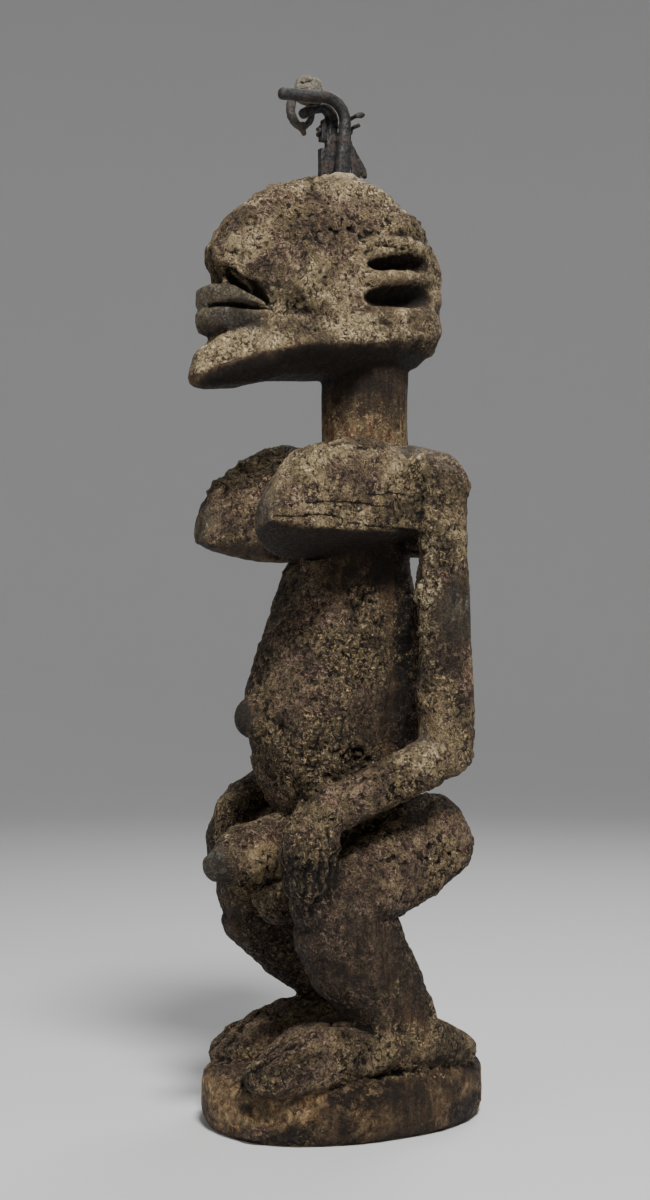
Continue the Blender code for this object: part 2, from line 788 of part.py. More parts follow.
def amulet_packet(home, cutters, hide):
    """A lumpy hide packet folded over the drooping bar."""
    made = packet_skin("amulet_packet", home)
    made.data.materials.append(hide)
    bar = second_hook(cutters, hide, FIT_GAP)
    bar.name = "bar_clearance"
    make_helper(bar)
    add_boolean(made, bar, "DIFFERENCE")
    return made


def amulet_loop(home, cutters, hide):
    """The dried strap under the packet, with its knotted end below."""
    x, y, z = STRAP_X, -21.2, 603.4
    half_depth, half_height = 7.2, 9.8
    count, sides = 36, 10
    rows = []
    work = bmesh.new()
    for i in range(count):
        around = 2 * math.pi * i / count
        outward = Vector((0, math.cos(around), math.sin(around)))
        middle = Vector((x, y + half_depth * outward.y, z + half_height * outward.z))
        row = []
        for px, py in power_oval(1.7, 1.5, 2.4, sides):
            row.append(work.verts.new((middle + Vector((px, 0, 0)) + outward * py) * MM))
        rows.append(row)
    for i in range(count):
        for k in range(sides):
            ahead, beside = (i + 1) % count, (k + 1) % sides
            work.faces.new((rows[i][k], rows[ahead][k], rows[ahead][beside], rows[i][beside]))
    bmesh.ops.recalc_face_normals(work, faces=work.faces)
    mesh = bpy.data.meshes.new("amulet_loop")
    work.to_mesh(mesh)
    work.free()
    made = new_object("amulet_loop", mesh, home)
    made.data.materials.append(hide)
    knot = [
        (x, y - 0.2, z - half_height + 0.8, 2.4, 2.4, 2.2),
        (x, y + 0.6, z - half_height - 1.2, 2.2, 2.2, 2.2),
        (x, y + 1.4, z - half_height - 3.0, 1.6, 1.5, 2.2),
        (x, y + 2.0, z - half_height - 4.4, 1.4, 1.3, 2.4),
    ]
    stub = limb("strap_knot", knot, cutters, count=12)
    make_helper(stub)
    add_boolean(made, stub, "UNION")
    room = packet_skin("packet_clearance", cutters, FIT_GAP)
    make_helper(room)
    add_boolean(made, room, "DIFFERENCE")
    return made


def main():
    clear_scene()
    home = collection("fertility_figure")
    cutters = collection("cutters")
    wood = material("crusted_wood", (0.13, 0.09, 0.06), 0.9)
    iron = material("forged_iron", (0.09, 0.075, 0.065), 0.7, 0.6)
    paste = material("libation_paste", (0.42, 0.35, 0.25), 0.95)
    packet_hide = material("packet_hide", (0.52, 0.49, 0.40), 0.9)
    strap_hide = material("strap_hide", (0.28, 0.26, 0.22), 0.85)
    carving(home, cutters, wood)
    crown_packing(home, cutters, paste)
    main_hook(home, iron)
    second_hook(home, iron)
    binding_ring(home, iron)
    for name, x, length, tilt in PENDANTS:
        pendant(name, x, length, tilt, home, iron)
    amulet_packet(home, cutters, packet_hide)
    amulet_loop(home, cutters, strap_hide)


main()
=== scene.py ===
"""The look of the carved standing figure: crusted wood, hammered irons, crown packing and amulet."""

import math

import bmesh
import bpy
import numpy as np
from mathutils import Matrix, Vector, kdtree


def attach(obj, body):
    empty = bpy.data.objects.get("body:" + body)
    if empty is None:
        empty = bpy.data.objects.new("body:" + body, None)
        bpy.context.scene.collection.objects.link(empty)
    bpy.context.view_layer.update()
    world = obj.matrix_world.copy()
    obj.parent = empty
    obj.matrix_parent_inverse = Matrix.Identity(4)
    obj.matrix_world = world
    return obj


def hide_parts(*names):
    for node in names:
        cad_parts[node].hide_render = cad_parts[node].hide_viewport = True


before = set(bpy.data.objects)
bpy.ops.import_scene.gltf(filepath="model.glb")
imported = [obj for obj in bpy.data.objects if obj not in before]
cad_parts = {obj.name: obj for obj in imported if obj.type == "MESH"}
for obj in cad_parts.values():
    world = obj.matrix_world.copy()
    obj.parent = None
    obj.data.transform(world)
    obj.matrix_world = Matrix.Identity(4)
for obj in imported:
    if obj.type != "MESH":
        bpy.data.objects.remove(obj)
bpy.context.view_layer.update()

MM = 0.001

# Driving dimensions, in millimetres.
PLINTH_LENGTH = 174.0
PLINTH_WIDTH = 134.0
PLINTH_HEIGHT = 36.0
PLINTH_TOP_EDGE = 12.0
PLINTH_FOOT_EDGE = 8.5
CROWN_Z = 558.5
NECK_Y = 15.5
NECK_RADIUS = 26.0
ARM_X = 61.5
LEG_X = 40.0
HEAD_HALF_WIDTH = 36.0

# Middle y, middle z and half height of the two slots in each ear.
EAR_SLOTS = ((20.0, 506.0, 7.0), (19.0, 486.0, 8.5))
EAR_SLOT_HALF_LENGTH = 27.0
EAR_SLOT_DEPTH = 11.0
EAR_SLOT_TILT = 7.0

SOCKET_Y = -3.0
SOCKET_RADIUS = 13.0
SOCKET_DEPTH = 24.0
SOCKET_SLOPE = 0.1
SOCKET_CUT_LENGTH = 60.0

HOOK_RADIUS = 3.6
HOOK_Y = 1.4
HOOK_BAR_Z = 608.5
HOOK_BAR_END_Y = -41.5
HOOK_BEND = 13.0

BLADE_X = -9.4
BLADE_Y = -5.4
BLADE_HALF_THICKNESS = 2.4
BLADE_BEND = 6.5
BLADE_BAR_Z = 605.5

WIRE_RADIUS = 1.25
PENDANT_WIRE_Z = 593.0
PENDANT_WIRE_Y = HOOK_Y + HOOK_RADIUS + WIRE_RADIUS + 0.5

# Each drop: its node, its body, its x, length, tilt at rest in degrees, and noise seed.
PENDANTS = (
    ("pendant_front", "front_drop", -5.5, 30.0, 12.0, 141),
    ("pendant_rear", "rear_drop", -8.9, 27.0, 29.0, 151),
)
EYE_RADIUS = 2.6
EYE_WIRE_RADIUS = 0.95

PACKET_CENTRE = (-9.8, -18.5, 614.0)
PACKET_HALF_SIZE = (5.2, 9.4, 8.4)
STRAP_MIDDLE = (-14.6, -20.5, 603.4)
STRAP_HALF_DEPTH = 7.2
STRAP_HALF_HEIGHT = 9.8

# The rounded ends of a limb: angles of the extra rings, and how far they reach past its last station.
CAP_ANGLES = (80, 60, 35)
CAP_REACH = 0.7


def new_object(name, mesh, home):
    made = bpy.data.objects.new(name, mesh)
    home.objects.link(made)
    return made


def power_oval(half_width, half_depth, power, count):
    """Points of a rounded rectangle: power 2 is an ellipse, more is squarer."""
    points = []
    for i in range(count):
        turn = 2 * math.pi * i / count
        c, s = math.cos(turn), math.sin(turn)
        points.append(
            (
                half_width * math.copysign(abs(c) ** (2 / power), c),
                half_depth * math.copysign(abs(s) ** (2 / power), s),
            )
        )
    return points


def mesh_from(name, work):
    """The mesh that holds a bmesh, which is then freed."""
    mesh = bpy.data.meshes.new(name)
    work.to_mesh(mesh)
    work.free()
    return mesh


def finished_mesh(name, work):
    """As mesh_from, with every face turned outwards first."""
    bmesh.ops.recalc_face_normals(work, faces=work.faces)
    return mesh_from(name, work)


def mesh_of_rings(name, rings):
    """A closed skin over rings of equal length, in millimetres."""
    work = bmesh.new()
    rows = [[work.verts.new(Vector(p) * MM) for p in ring] for ring in rings]
    count = len(rows[0])
    for lower, upper in zip(rows, rows[1:]):
        for i in range(count):
            j = (i + 1) % count
            work.faces.new((lower[i], lower[j], upper[j], upper[i]))
    work.faces.new(list(reversed(rows[0])))
    work.faces.new(rows[-1])
    return finished_mesh(name, work)


def level_loft(name, levels, home, count=32, back_power=None):
    """A skin over level ovals. Each level is (z, front y, back y, half width, power), at x 0.

    The half that faces back can be squarer than the front half.
    """
    rings = []
    for z, front, back, half_width, power in levels:
        middle = (front + back) / 2
        oval = power_oval(half_width, (back - front) / 2, power, count)
        behind = power_oval(half_width, (back - front) / 2, back_power or power, count)
        ring = [late if late[1] > 0 else early for early, late in zip(oval, behind)]
        rings.append([(x, middle + y, z) for x, y in ring])
    return new_object(name, mesh_of_rings(name, rings), home)


def front_loft(name, stations, home, count=32):
    """A skin over upright ovals along y. Each station is (y, low z, high z, half width, power), at x 0."""
    rings = []
    for y, low, high, half_width, power in stations:
        middle = (low + high) / 2
        oval = power_oval(half_width, (high - low) / 2, power, count)
        rings.append([(x, y, middle + z) for x, z in oval])
    return new_object(name, mesh_of_rings(name, rings), home)


def limb(name, stations, home, side=1, count=24):
    """A skin along a path. Each station is (x, y, z, half width, half thickness, power).

    Half width is measured across the body, half thickness in the plane that the path bends in.
    """
    points = [Vector((side * s[0], s[1], s[2])) for s in stations]
    frames = []
    for i, point in enumerate(points):
        ahead = points[min(i + 1, len(points) - 1)] - points[max(i - 1, 0)]
        along = ahead.normalized()
        across = Vector((1, 0, 0)) - along * along.x
        across.normalize()
        frames.append((point, along, across, along.cross(across)))
    rings = []

    def ring(index, shrink, shift):
        point, along, across, up = frames[index]
        half_width, half_thickness, power = stations[index][3:6]
        centre = point + along * shift
        oval = power_oval(half_width * shrink, half_thickness * shrink, power, count)
        return [centre + across * a + up * b for a, b in oval]

    last = len(stations) - 1
    for angle in CAP_ANGLES:
        reach = CAP_REACH * min(stations[0][3:5])
        turn = math.radians(angle)
        rings.append(ring(0, math.cos(turn), -reach * math.sin(turn)))
    rings += [ring(i, 1.0, 0.0) for i in range(last + 1)]
    for angle in reversed(CAP_ANGLES):
        reach = CAP_REACH * min(stations[last][3:5])
        turn = math.radians(angle)
        rings.append(ring(last, math.cos(turn), reach * math.sin(turn)))
    return new_object(name, mesh_of_rings(name, rings), home)


def placed(name, work, centre, sizes, tilt, home):
    """A unit shape stretched to its sizes, tilted about X by tilt degrees and moved to its centre."""
    stretch = Matrix.Diagonal((*(size * MM for size in sizes), 1.0))
    turn = Matrix.Rotation(math.radians(tilt), 4, "X")
    place = Matrix.Translation(Vector(centre) * MM)
    bmesh.ops.transform(work, matrix=place @ turn @ stretch, verts=work.verts)
    return new_object(name, mesh_from(name, work), home)


def ball(name, centre, radii, home, tilt=0.0):
    work = bmesh.new()
    bmesh.ops.create_uvsphere(work, u_segments=28, v_segments=18, radius=1.0)
    return placed(name, work, centre, radii, tilt, home)


def block(name, centre, edges, home, tilt=0.0):
    work = bmesh.new()
    bmesh.ops.create_cube(work, size=1.0)
    return placed(name, work, centre, edges, tilt, home)


def evaluated_mesh(obj):
    bpy.context.view_layer.update()
    graph = bpy.context.evaluated_depsgraph_get()
    return bpy.data.meshes.new_from_object(obj.evaluated_get(graph))


def apply_modifiers(obj):
    obj.data = evaluated_mesh(obj)
    obj.modifiers.clear()
    return obj.data


def cut_away(target, cutters):
    """Takes closed pieces out of target, after any modifier it already has, and removes them."""
    for cutter in cutters:
        cut = target.modifiers.new("cut_" + cutter.name, "BOOLEAN")
        cut.operation = "DIFFERENCE"
        cut.solver = "EXACT"
        cut.object = cutter
    apply_modifiers(target)
    for cutter in cutters:
        bpy.data.objects.remove(cutter)


def joined(name, pieces, home):
    """One object holding the evaluated skins of several, which are then removed."""
    work = bmesh.new()
    for piece in pieces:
        mesh = evaluated_mesh(piece)
        mesh.transform(piece.matrix_world)
        work.from_mesh(mesh)
        bpy.data.meshes.remove(mesh)
    mesh = mesh_from(name, work)
    for piece in pieces:
        bpy.data.objects.remove(piece)
    return new_object(name, mesh, home)


def plinth(home):
    """A thick oval slab with worn, rounded edges. It starts below the floor plane and is cut flat later."""
    half_width, half_length = PLINTH_WIDTH / 2, PLINTH_LENGTH / 2
    outline = []
    for angle in range(15, 91, 15):
        turn = math.radians(angle)
        outline.append((14.0 * (1 - math.cos(turn)) - 1.5, PLINTH_FOOT_EDGE * (1 - math.sin(turn))))
    for angle in range(90, 14, -15):
        turn = math.radians(angle)
        rise = 0.9 * PLINTH_TOP_EDGE * (1 - math.sin(turn))
        outline.append((PLINTH_HEIGHT - 11.0 + 11.0 * math.cos(turn), 1.25 * rise))
    levels = [(z, -half_length + inset, half_length - inset, half_width - inset, 2.2) for z, inset in outline]
    return level_loft("plinth_lump", levels, home, count=48)


def torso(home):
    levels = [
        (150, -22, 38, 34, 2.4),
        (172, -30, 42, 38, 2.4),
        (187, -43, 42, 41, 2.3),
        (208, -53, 41, 43, 2.2),
        (228, -58, 41, 44, 2.2),
        (256, -58, 41, 44, 2.2),
        (282, -51, 41, 43, 2.2),
        (299, -43, 40, 42, 2.3),
        (315, -36, 38, 40, 2.4),
        (332, -27, 36, 39, 2.5),
        (348, -22, 38, 39, 2.5),
        (375, -18, 41, 45, 2.6),
        (390, -10, 41, 44, 2.6),
    ]
    return level_loft("torso_lump", levels, home)


def neck(home):
    front, back = NECK_Y - NECK_RADIUS, NECK_Y + NECK_RADIUS
    levels = [
        (376, front - 3, back + 3, NECK_RADIUS + 3, 2.1),
        (400, front, back, NECK_RADIUS, 2.1),
        (440, front, back, NECK_RADIUS, 2.1),
        (470, front, back, NECK_RADIUS, 2.1),
    ]
    return level_loft("neck_lump", levels, home)


def shoulders(home):
    """The yoke that joins both arms across the back of the chest."""
    across = [
        (-ARM_X - 8, 31, 373, 13, 11, 2.6),
        (-ARM_X + 2, 30, 379, 15.5, 14, 2.6),
        (-ARM_X + 20, 27, 382, 16, 16, 2.6),
        (0, 20, 384, 22, 17, 2.4),
        (ARM_X - 20, 27, 382, 16, 16, 2.6),
        (ARM_X - 2, 30, 379, 15.5, 14, 2.6),
        (ARM_X + 8, 31, 373, 13, 11, 2.6),
    ]
    rings = []
    for x, y, z, half_depth, half_height, power in across:
        oval = power_oval(half_depth, half_height, power, 24)
        rings.append([(x, y + a, z + b) for a, b in oval])
    return new_object("yoke_lump", mesh_of_rings("yoke_lump", rings), home)


def breast(home, side):
    """A long wedge with a domed top and an underside that slopes down and in from a crisp outer edge.

    The right one is a little deeper.

    Each station is (y, middle x, half width, top z, outer edge z, inner edge z).
    """
    heavier = 1.0 if side < 0 else 0.0
    stations = [
        (26, 32, 27, 394, 348, 340),
        (2, 33, 29, 401, 347, 337),
        (-22, 33, 30, 401, 345, 334),
        (-38, 34, 29, 397, 345, 333),
        (-50, 35, 27, 391, 345, 334),
        (-62, 37, 22, 380, 346, 337),
        (-70, 38, 16, 369, 348, 342),
        (-76, 39, 9, 360, 351, 347),
    ]
    count = 28
    rings = []
    for i, (y, middle, half, top, outer, inner) in enumerate(stations):
        share = i / (len(stations) - 1)
        lift = 3.0 * heavier * (1 - share)
        sag = 4.0 * heavier * share
        ring = []
        for k in range(count):
            turn = 2 * math.pi * k / count
            c, s = math.cos(turn), math.sin(turn)
            across = math.copysign(abs(c) ** 0.8, c)
            edge = inner + (outer - inner) * (across + 1) / 2 - sag
            if s >= 0:
                z = edge + (top + lift - edge) * s**0.85
            else:
                z = edge + 2.5 * s
            ring.append((side * (middle + half * across), y, z))
        rings.append(ring)
    return new_object("breast_lump", mesh_of_rings("breast_lump", rings), home)


def arm(home, side):
    """Upper arm straight down the side, forearm forward to the knee, and the hand hanging over it."""
    upper = [
        (ARM_X - 0.5, 29.0, 378, 12, 14, 3.0),
        (ARM_X, 29.5, 340, 12, 14.5, 3.0),
        (ARM_X + 0.5, 31, 280, 12, 15.5, 3.0),
        (ARM_X + 1, 33, 226, 13, 17, 2.8),
    ]
    fore = [
        (ARM_X + 1, 34, 219, 13, 15, 2.5),
        (ARM_X - 1, 8, 209, 13, 13.5, 2.4),
        (ARM_X - 5, -18, 197, 13, 13, 2.4),
        (ARM_X - 11, -42, 186, 12.5, 12.5, 2.4),
    ]
    hand = [
        (ARM_X - 12, -46, 184, 12.5, 12, 2.8),
        (ARM_X - 14, -50, 165, 14.5, 14.5, 3.2),
        (ARM_X - 15, -51, 145, 13.5, 13, 3.2),
    ]
    web_x = side * (ARM_X - 17)
    return [
        limb("upper_arm_lump", upper, home, side),
        ball("elbow_lump", (side * (ARM_X + 1), 34, 223), (13, 17.5, 18), home),
        limb("forearm_lump", fore, home, side),
        limb("hand_lump", hand, home, side),
        block("arm_web_lump", (web_x, 26, 258), (22, 13, 104), home),
        block("armpit_lump", (web_x, 26, 356), (22, 16, 46), home),
    ]


def leg(home, side):
    """Thigh back to the buttock, shin slanting back down to the ankle, and a broad thick foot.

    The left foot is thicker and longer than the right one, and the right ankle is slimmer in front.
    """
    knee_y = -41 if side > 0 else -47
    slim = 0 if side > 0 else 9
    thigh = [
        (LEG_X + 1, 45, 172, 20, 25, 2.2),
        (LEG_X + 1, 18, 158, 23, 27, 2.2),
        (LEG_X + 1, -12, 143, 23, 24, 2.2),
        (LEG_X + 1, knee_y, 130, 21, 20, 2.2),
    ]
    shin = [
        (LEG_X + 1, knee_y + 8, 124, 21, 25, 2.4),
        (LEG_X, -15 + slim / 3, 104, 21, 31 - slim / 3, 2.5),
        (LEG_X, slim / 2, 84, 21, 27 - slim / 2, 2.6),
        (LEG_X - 1, 13 + slim, 66, 20, 22 - slim, 2.6),
        (LEG_X - 1, 16 + slim, 52, 20, 21 - slim, 2.6),
    ]
    heel = [
        (LEG_X - 4, 56, 43, 18, 9, 2.6),
        (LEG_X - 2, 44, 46, 20, 14, 2.6),
        (LEG_X - 2, 20, 49, 22, 18, 2.6),
    ]
    left_toes = [
        (LEG_X - 3, -10, 50, 24, 19, 2.5),
        (LEG_X - 5, -34, 47, 27, 18, 2.6),
        (LEG_X - 7, -52, 42, 28, 15, 2.8),
        (LEG_X - 10, -66, 38, 24, 10.5, 2.8),
        (LEG_X - 14, -74, 37, 17, 7, 2.6),
    ]
    right_toes = [
        (LEG_X - 3, -10, 48, 24, 17, 2.5),
        (LEG_X - 5, -32, 44, 26, 15, 2.6),
        (LEG_X - 7, -46, 41, 26, 12, 2.8),
        (LEG_X - 10, -57, 38, 22, 8.5, 2.8),
        (LEG_X - 13, -64, 37, 16, 6, 2.6),
    ]
    foot = heel + (left_toes if side > 0 else right_toes)
    return [
        limb("thigh_lump", thigh, home, side),
        limb("shin_lump", shin, home, side),
        limb("foot_lump", foot, home, side),
    ]


def groin(home):
    member = [
        (0, -28, 170, 15, 17, 2.2),
        (0, -50, 163, 16, 18, 2.2),
        (0, -66, 159, 16, 16.5, 2.1),
        (0, -79, 155, 13, 12.5, 2.0),
        (0, -86, 153, 9.5, 9, 2.0),
    ]
    return [
        limb("member_lump", member, home),
        ball("lap_lump", (10 - LEG_X, -24, 169), (16, 20, 16), home),
        ball("pouch_lump", (0, -44, 132), (13, 13, 14), home),
        ball("navel_lump", (0, -59, 239), (12, 13, 13), home),
    ]


def keel_loft(name, stations, home):
    """The jaw, a skin along y.

    Each station is (y, keel z, keel half width, edge z, edge half width, top z, top half width).
    """
    rings = []
    for y, keel, keel_half, edge, edge_half, top, top_half in stations:
        right = [(keel_half * 0.5, keel), (keel_half, keel + 0.5), (edge_half * 0.8, (keel + edge) / 2 - 1)]
        right += [(edge_half, edge), ((edge_half + top_half) / 2, (edge + top) / 2), (top_half, top)]
        left = [(-x, z) for x, z in reversed(right)]
        rings.append([(x, y, z) for x, z in right + left])
    return new_object(name, mesh_of_rings(name, rings), home)


def side_cutter(name, outline, half_width, home):
    """A prism across the body with a (y, z) outline."""
    rings = []
    for x in (-half_width, half_width):
        rings.append([(x, y, z) for y, z in outline])
    return new_object(name, mesh_of_rings(name, rings), home)


def skull(home):
    """The helmet-like head, cut away below the slanting brow and hollowed with two slots per ear."""
    levels = [
        (452, -50, 44, 30, 2.6),
        (464, -62, 55, 33, 2.6),
        (478, -72, 61, 35, 2.5),
        (490, -84, 62.5, HEAD_HALF_WIDTH, 2.4),
        (500, -90.5, 62.5, HEAD_HALF_WIDTH, 2.3),
        (508, -90.5, 61, HEAD_HALF_WIDTH, 2.3),
        (518, -86, 58, 35, 2.3),
        (527, -78, 52, 33, 2.3),
        (536, -67.5, 44, 30, 2.2),
        (543, -58.5, 37, 27, 2.2),
        (550, -47, 28, 22, 2.1),
        (554.5, -36, 20, 17, 2.0),
        (557.5, -23, 11, 10, 2.0),
        (CROWN_Z, -9, 5, 4, 2.0),
    ]
    made = level_loft("skull_lump", levels, home, count=40, back_power=3.0)
    below_brow = [(-110, 500), (-93, 500), (-89, 497), (-77, 489), (-61, 473), (-58, 452), (-110, 452)]
    cutters = [side_cutter("under_brow", below_brow, 50, home)]
    for side in (-1, 1):
        for index, (y, z, height) in enumerate(EAR_SLOTS):
            centre = (side * (HEAD_HALF_WIDTH + 1), y, z)
            radii = (EAR_SLOT_DEPTH, EAR_SLOT_HALF_LENGTH, height)
            cutters.append(ball(f"ear_slot_{index}_{side}", centre, radii, home, tilt=EAR_SLOT_TILT))
    cut_away(made, cutters)
    return made


def face(home):
    """The jutting jaw, two lips one above the other, and the bridge behind them."""
    jaw = [
        (-100, 430, 3, 434, 6, 438, 4),
        (-97, 428.5, 4, 436, 9, 447, 6),
        (-92, 428, 6, 439, 13, 452, 10),
        (-84, 428.5, 8, 442, 18, 458, 15),
        (-70, 430.5, 10, 446, 25, 466, 21),
        (-46, 437.5, 13, 452, 31, 472, 29),
        (-10, 441, 17, 456, 36, 476, 34),
        (20, 444, 19, 461, 37, 480, 35),
        (42, 449, 17, 465, 34, 482, 33),
        (50, 456, 14, 468, 30, 480, 29),
        (55, 463, 11, 470, 24, 477, 22),
    ]
    upper_lip = [
        (-95, 475, 485.8, 7, 5),
        (-92, 474.5, 487, 12, 5),
        (-82, 474.8, 486.6, 19, 4.4),
        (-71, 474, 480, 24, 3.4),
        (-58, 469, 474, 27, 2.6),
    ]
    lower_lip = [
        (-95, 465, 472.5, 7, 4.4),
        (-91, 460.5, 473.5, 12, 4.4),
        (-84, 459.5, 474, 16, 4),
        (-76, 462.5, 473, 21, 3.6),
        (-66, 467, 475, 24, 2.8),
        (-56, 468, 473, 27, 2.6),
    ]
    return [
        keel_loft("jaw_lump", jaw, home),
        front_loft("upper_lip_lump", upper_lip, home),
        front_loft("lower_lip_lump", lower_lip, home),
        block("bridge_lump", (0, -65, 477), (20, 37, 50), home),
        block("nose", (0, -80, 490), (19, 11, 20), home),
    ]


def socket_cutter(name, home):
    """The round socket in the crown, widening upwards."""
    low = CROWN_Z - SOCKET_DEPTH
    narrow, wide = SOCKET_RADIUS, SOCKET_RADIUS + SOCKET_SLOPE * SOCKET_CUT_LENGTH
    levels = [
        (low, SOCKET_Y - narrow, SOCKET_Y + narrow, narrow, 2.0),
        (low + SOCKET_CUT_LENGTH, SOCKET_Y - wide, SOCKET_Y + wide, wide, 2.0),
    ]
    return level_loft(name, levels, home)


def arc(centre_y, centre_z, radius, start, stop, steps):
    """Points in the YZ plane, angles in degrees from +Y towards +Z."""
    points = []
    for i in range(steps + 1):
        turn = math.radians(start + (stop - start) * i / steps)
        points.append((centre_y + radius * math.cos(turn), centre_z + radius * math.sin(turn)))
    return points


def wire(name, knots, home):
    """A round wire through knots of (x, y, z, radius), in millimetres, with closed ends."""
    curve = bpy.data.curves.new(name, "CURVE")
    curve.dimensions = "3D"
    curve.bevel_depth = MM
    curve.bevel_resolution = 2
    curve.resolution_u = 3
    curve.use_fill_caps = True
    spline = curve.splines.new("BEZIER")
    spline.bezier_points.add(len(knots) - 1)
    for point, knot in zip(spline.bezier_points, knots):
        point.co = Vector(knot[:3]) * MM
        point.radius = knot[3]
        point.handle_left_type = "AUTO"
        point.handle_right_type = "AUTO"
    draft = new_object(name + "_draft", curve, home)
    mesh = evaluated_mesh(draft)
    bpy.data.objects.remove(draft)
    work = bmesh.new()
    work.from_mesh(mesh)
    bmesh.ops.remove_doubles(work, verts=work.verts, dist=0.000001)
    bmesh.ops.recalc_face_normals(work, faces=work.faces)
    work.to_mesh(mesh)
    work.free()
    return new_object(name, mesh, home)


# ---------------------------------------------------------------- surface fields


def smooth_step(value, low, high):
    share = np.clip((value - low) / (high - low), 0.0, 1.0)
    return share * share * (3 - 2 * share)


def cell_noise(points, size, seed):
    """Smooth random values from -1 to 1 that change over size, in millimetres."""
    place = points / size + seed * 17.31
    cell = np.floor(place).astype(np.int64)
    part = place - cell
    part = part * part * part * (part * (part * 6 - 15) + 10)
    total = np.zeros(len(points))
    for corner in range(8):
        step = np.array([corner & 1, corner >> 1 & 1, corner >> 2 & 1])
        key = (cell + step) * np.array([73856093, 19349663, 83492791])
        code = key[:, 0] ^ key[:, 1] ^ key[:, 2] ^ (seed * 2654435761)
        code = (code ^ code >> 13) * 1274126177
        code = (code ^ code >> 16) & 0xFFFFFF
        share = np.where(step, part, 1 - part).prod(1)
        total += share * (code / 0x7FFFFF - 1)
    return total


def fractal(points, size, seed, octaves=4, gain=0.55):
    total = np.zeros(len(points))
    level = 1.0
    for octave in range(octaves):
        total += level * cell_noise(points, size / 2**octave, seed + octave)
        level *= gain
    return total


def ball_zone(points, centre, radius, soft):
    reach = np.linalg.norm(points - np.array(centre, float), axis=1)
    return 1 - smooth_step(reach, radius - soft, radius + soft)


def band(value, low, high, soft):
    return smooth_step(value, low - soft, low + soft) * (1 - smooth_step(value, high - soft, high + soft))


def polyline_distance(flat, path):
    """Distance of 2D points from a path of 2D points, and how far along it they are, from 0 to 1."""
    best = np.full(len(flat), 1e9)
    along = np.zeros(len(flat))
    for i, (start, end) in enumerate(zip(path, path[1:])):
        start, end = np.array(start, float), np.array(end, float)
        run = end - start
        share = np.clip((flat - start) @ run / (run @ run), 0, 1)
        reach = np.linalg.norm(flat - start - share[:, None] * run, axis=1)
        closer = reach < best
        best[closer] = reach[closer]
        along[closer] = (i + share[closer]) / (len(path) - 1)
    return best, along


# ---------------------------------------------------------------- sculpting the carving

FINE_VOXEL = 1.3
FINE_SMOOTHING = 3
FINE_TRIANGLES = 162000

# The heights over which the relief fades in above the floor, so that the base stays flat.
BASE_LOCK = (0.8, 5.0)

# Straw and chaff in the crust: how many stalks, and their least and greatest sizes.
STALKS = 1100
STALK_HALF_LENGTHS = (0.9, 3.0)
STALK_RADII = (0.13, 0.27)
STALK_BENDS = (-0.5, 0.5)
STALK_TONES = (0.2, 1.0)


def surface(mesh):
    """Vertex places in millimetres, and vertex normals."""
    places = np.empty(len(mesh.vertices) * 3)
    mesh.vertices.foreach_get("co", places)
    normals = np.empty(len(mesh.vertices) * 3)
    mesh.vertices.foreach_get("normal", normals)
    return places.reshape(-1, 3) / MM, normals.reshape(-1, 3)


def edge_ends(mesh):
    ends = np.empty(len(mesh.edges) * 2, int)
    mesh.edges.foreach_get("vertices", ends)
    return ends.reshape(-1, 2)


def relax(values, ends, rounds, factor=0.5):
    """Values drawn towards the mean of their neighbours' values, some rounds long."""
    values = values.astype(float)
    single = values.ndim == 1
    if single:
        values = values[:, None]
    count = np.bincount(ends.ravel(), minlength=len(values)).astype(float)[:, None]
    for _ in range(rounds):
        total = np.empty_like(values)
        for axis in range(values.shape[1]):
            near = np.bincount(ends[:, 0], weights=values[ends[:, 1], axis], minlength=len(values))
            near += np.bincount(ends[:, 1], weights=values[ends[:, 0], axis], minlength=len(values))
            total[:, axis] = near
        values = values * (1 - factor) + factor * total / np.maximum(count, 1)
    return values[:, 0] if single else values


def lift(mesh, places, normals, height):
    """Moves each vertex from its place along its normal by its height, in millimetres."""
    moved = places + normals * height[:, None]
    mesh.vertices.foreach_set("co", (moved * MM).astype(np.float32).ravel())
    mesh.update()


def remeshed(obj, voxel, smoothing):
    """Fuses the skins of an object into one fine smooth skin."""
    fuse = obj.modifiers.new("fuse", "REMESH")
    fuse.mode = "VOXEL"
    fuse.voxel_size = voxel * MM
    soften = obj.modifiers.new("soften", "SMOOTH")
    soften.factor = 0.5
    soften.iterations = smoothing
    return apply_modifiers(obj)


def write_colours(mesh, name, channels):
    layer = mesh.attributes.new(name, "FLOAT_COLOR", "POINT")
    data = np.ones((len(mesh.vertices), 4), np.float32)
    for i, channel in enumerate(channels):
        data[:, i] = np.clip(channel, 0, 1)
    layer.data.foreach_set("color", data.ravel())


# Each groove between toes: its x, the y of its back end, and its depth.
TOE_GROOVES = ((16, -60, 0.6), (25, -50, 1.0), (37, -46, 1.2))
FINGER_GROOVES = (-58, -51, -44)


def mirrored(path, side):
    return [(side * x, y) for x, y in path]


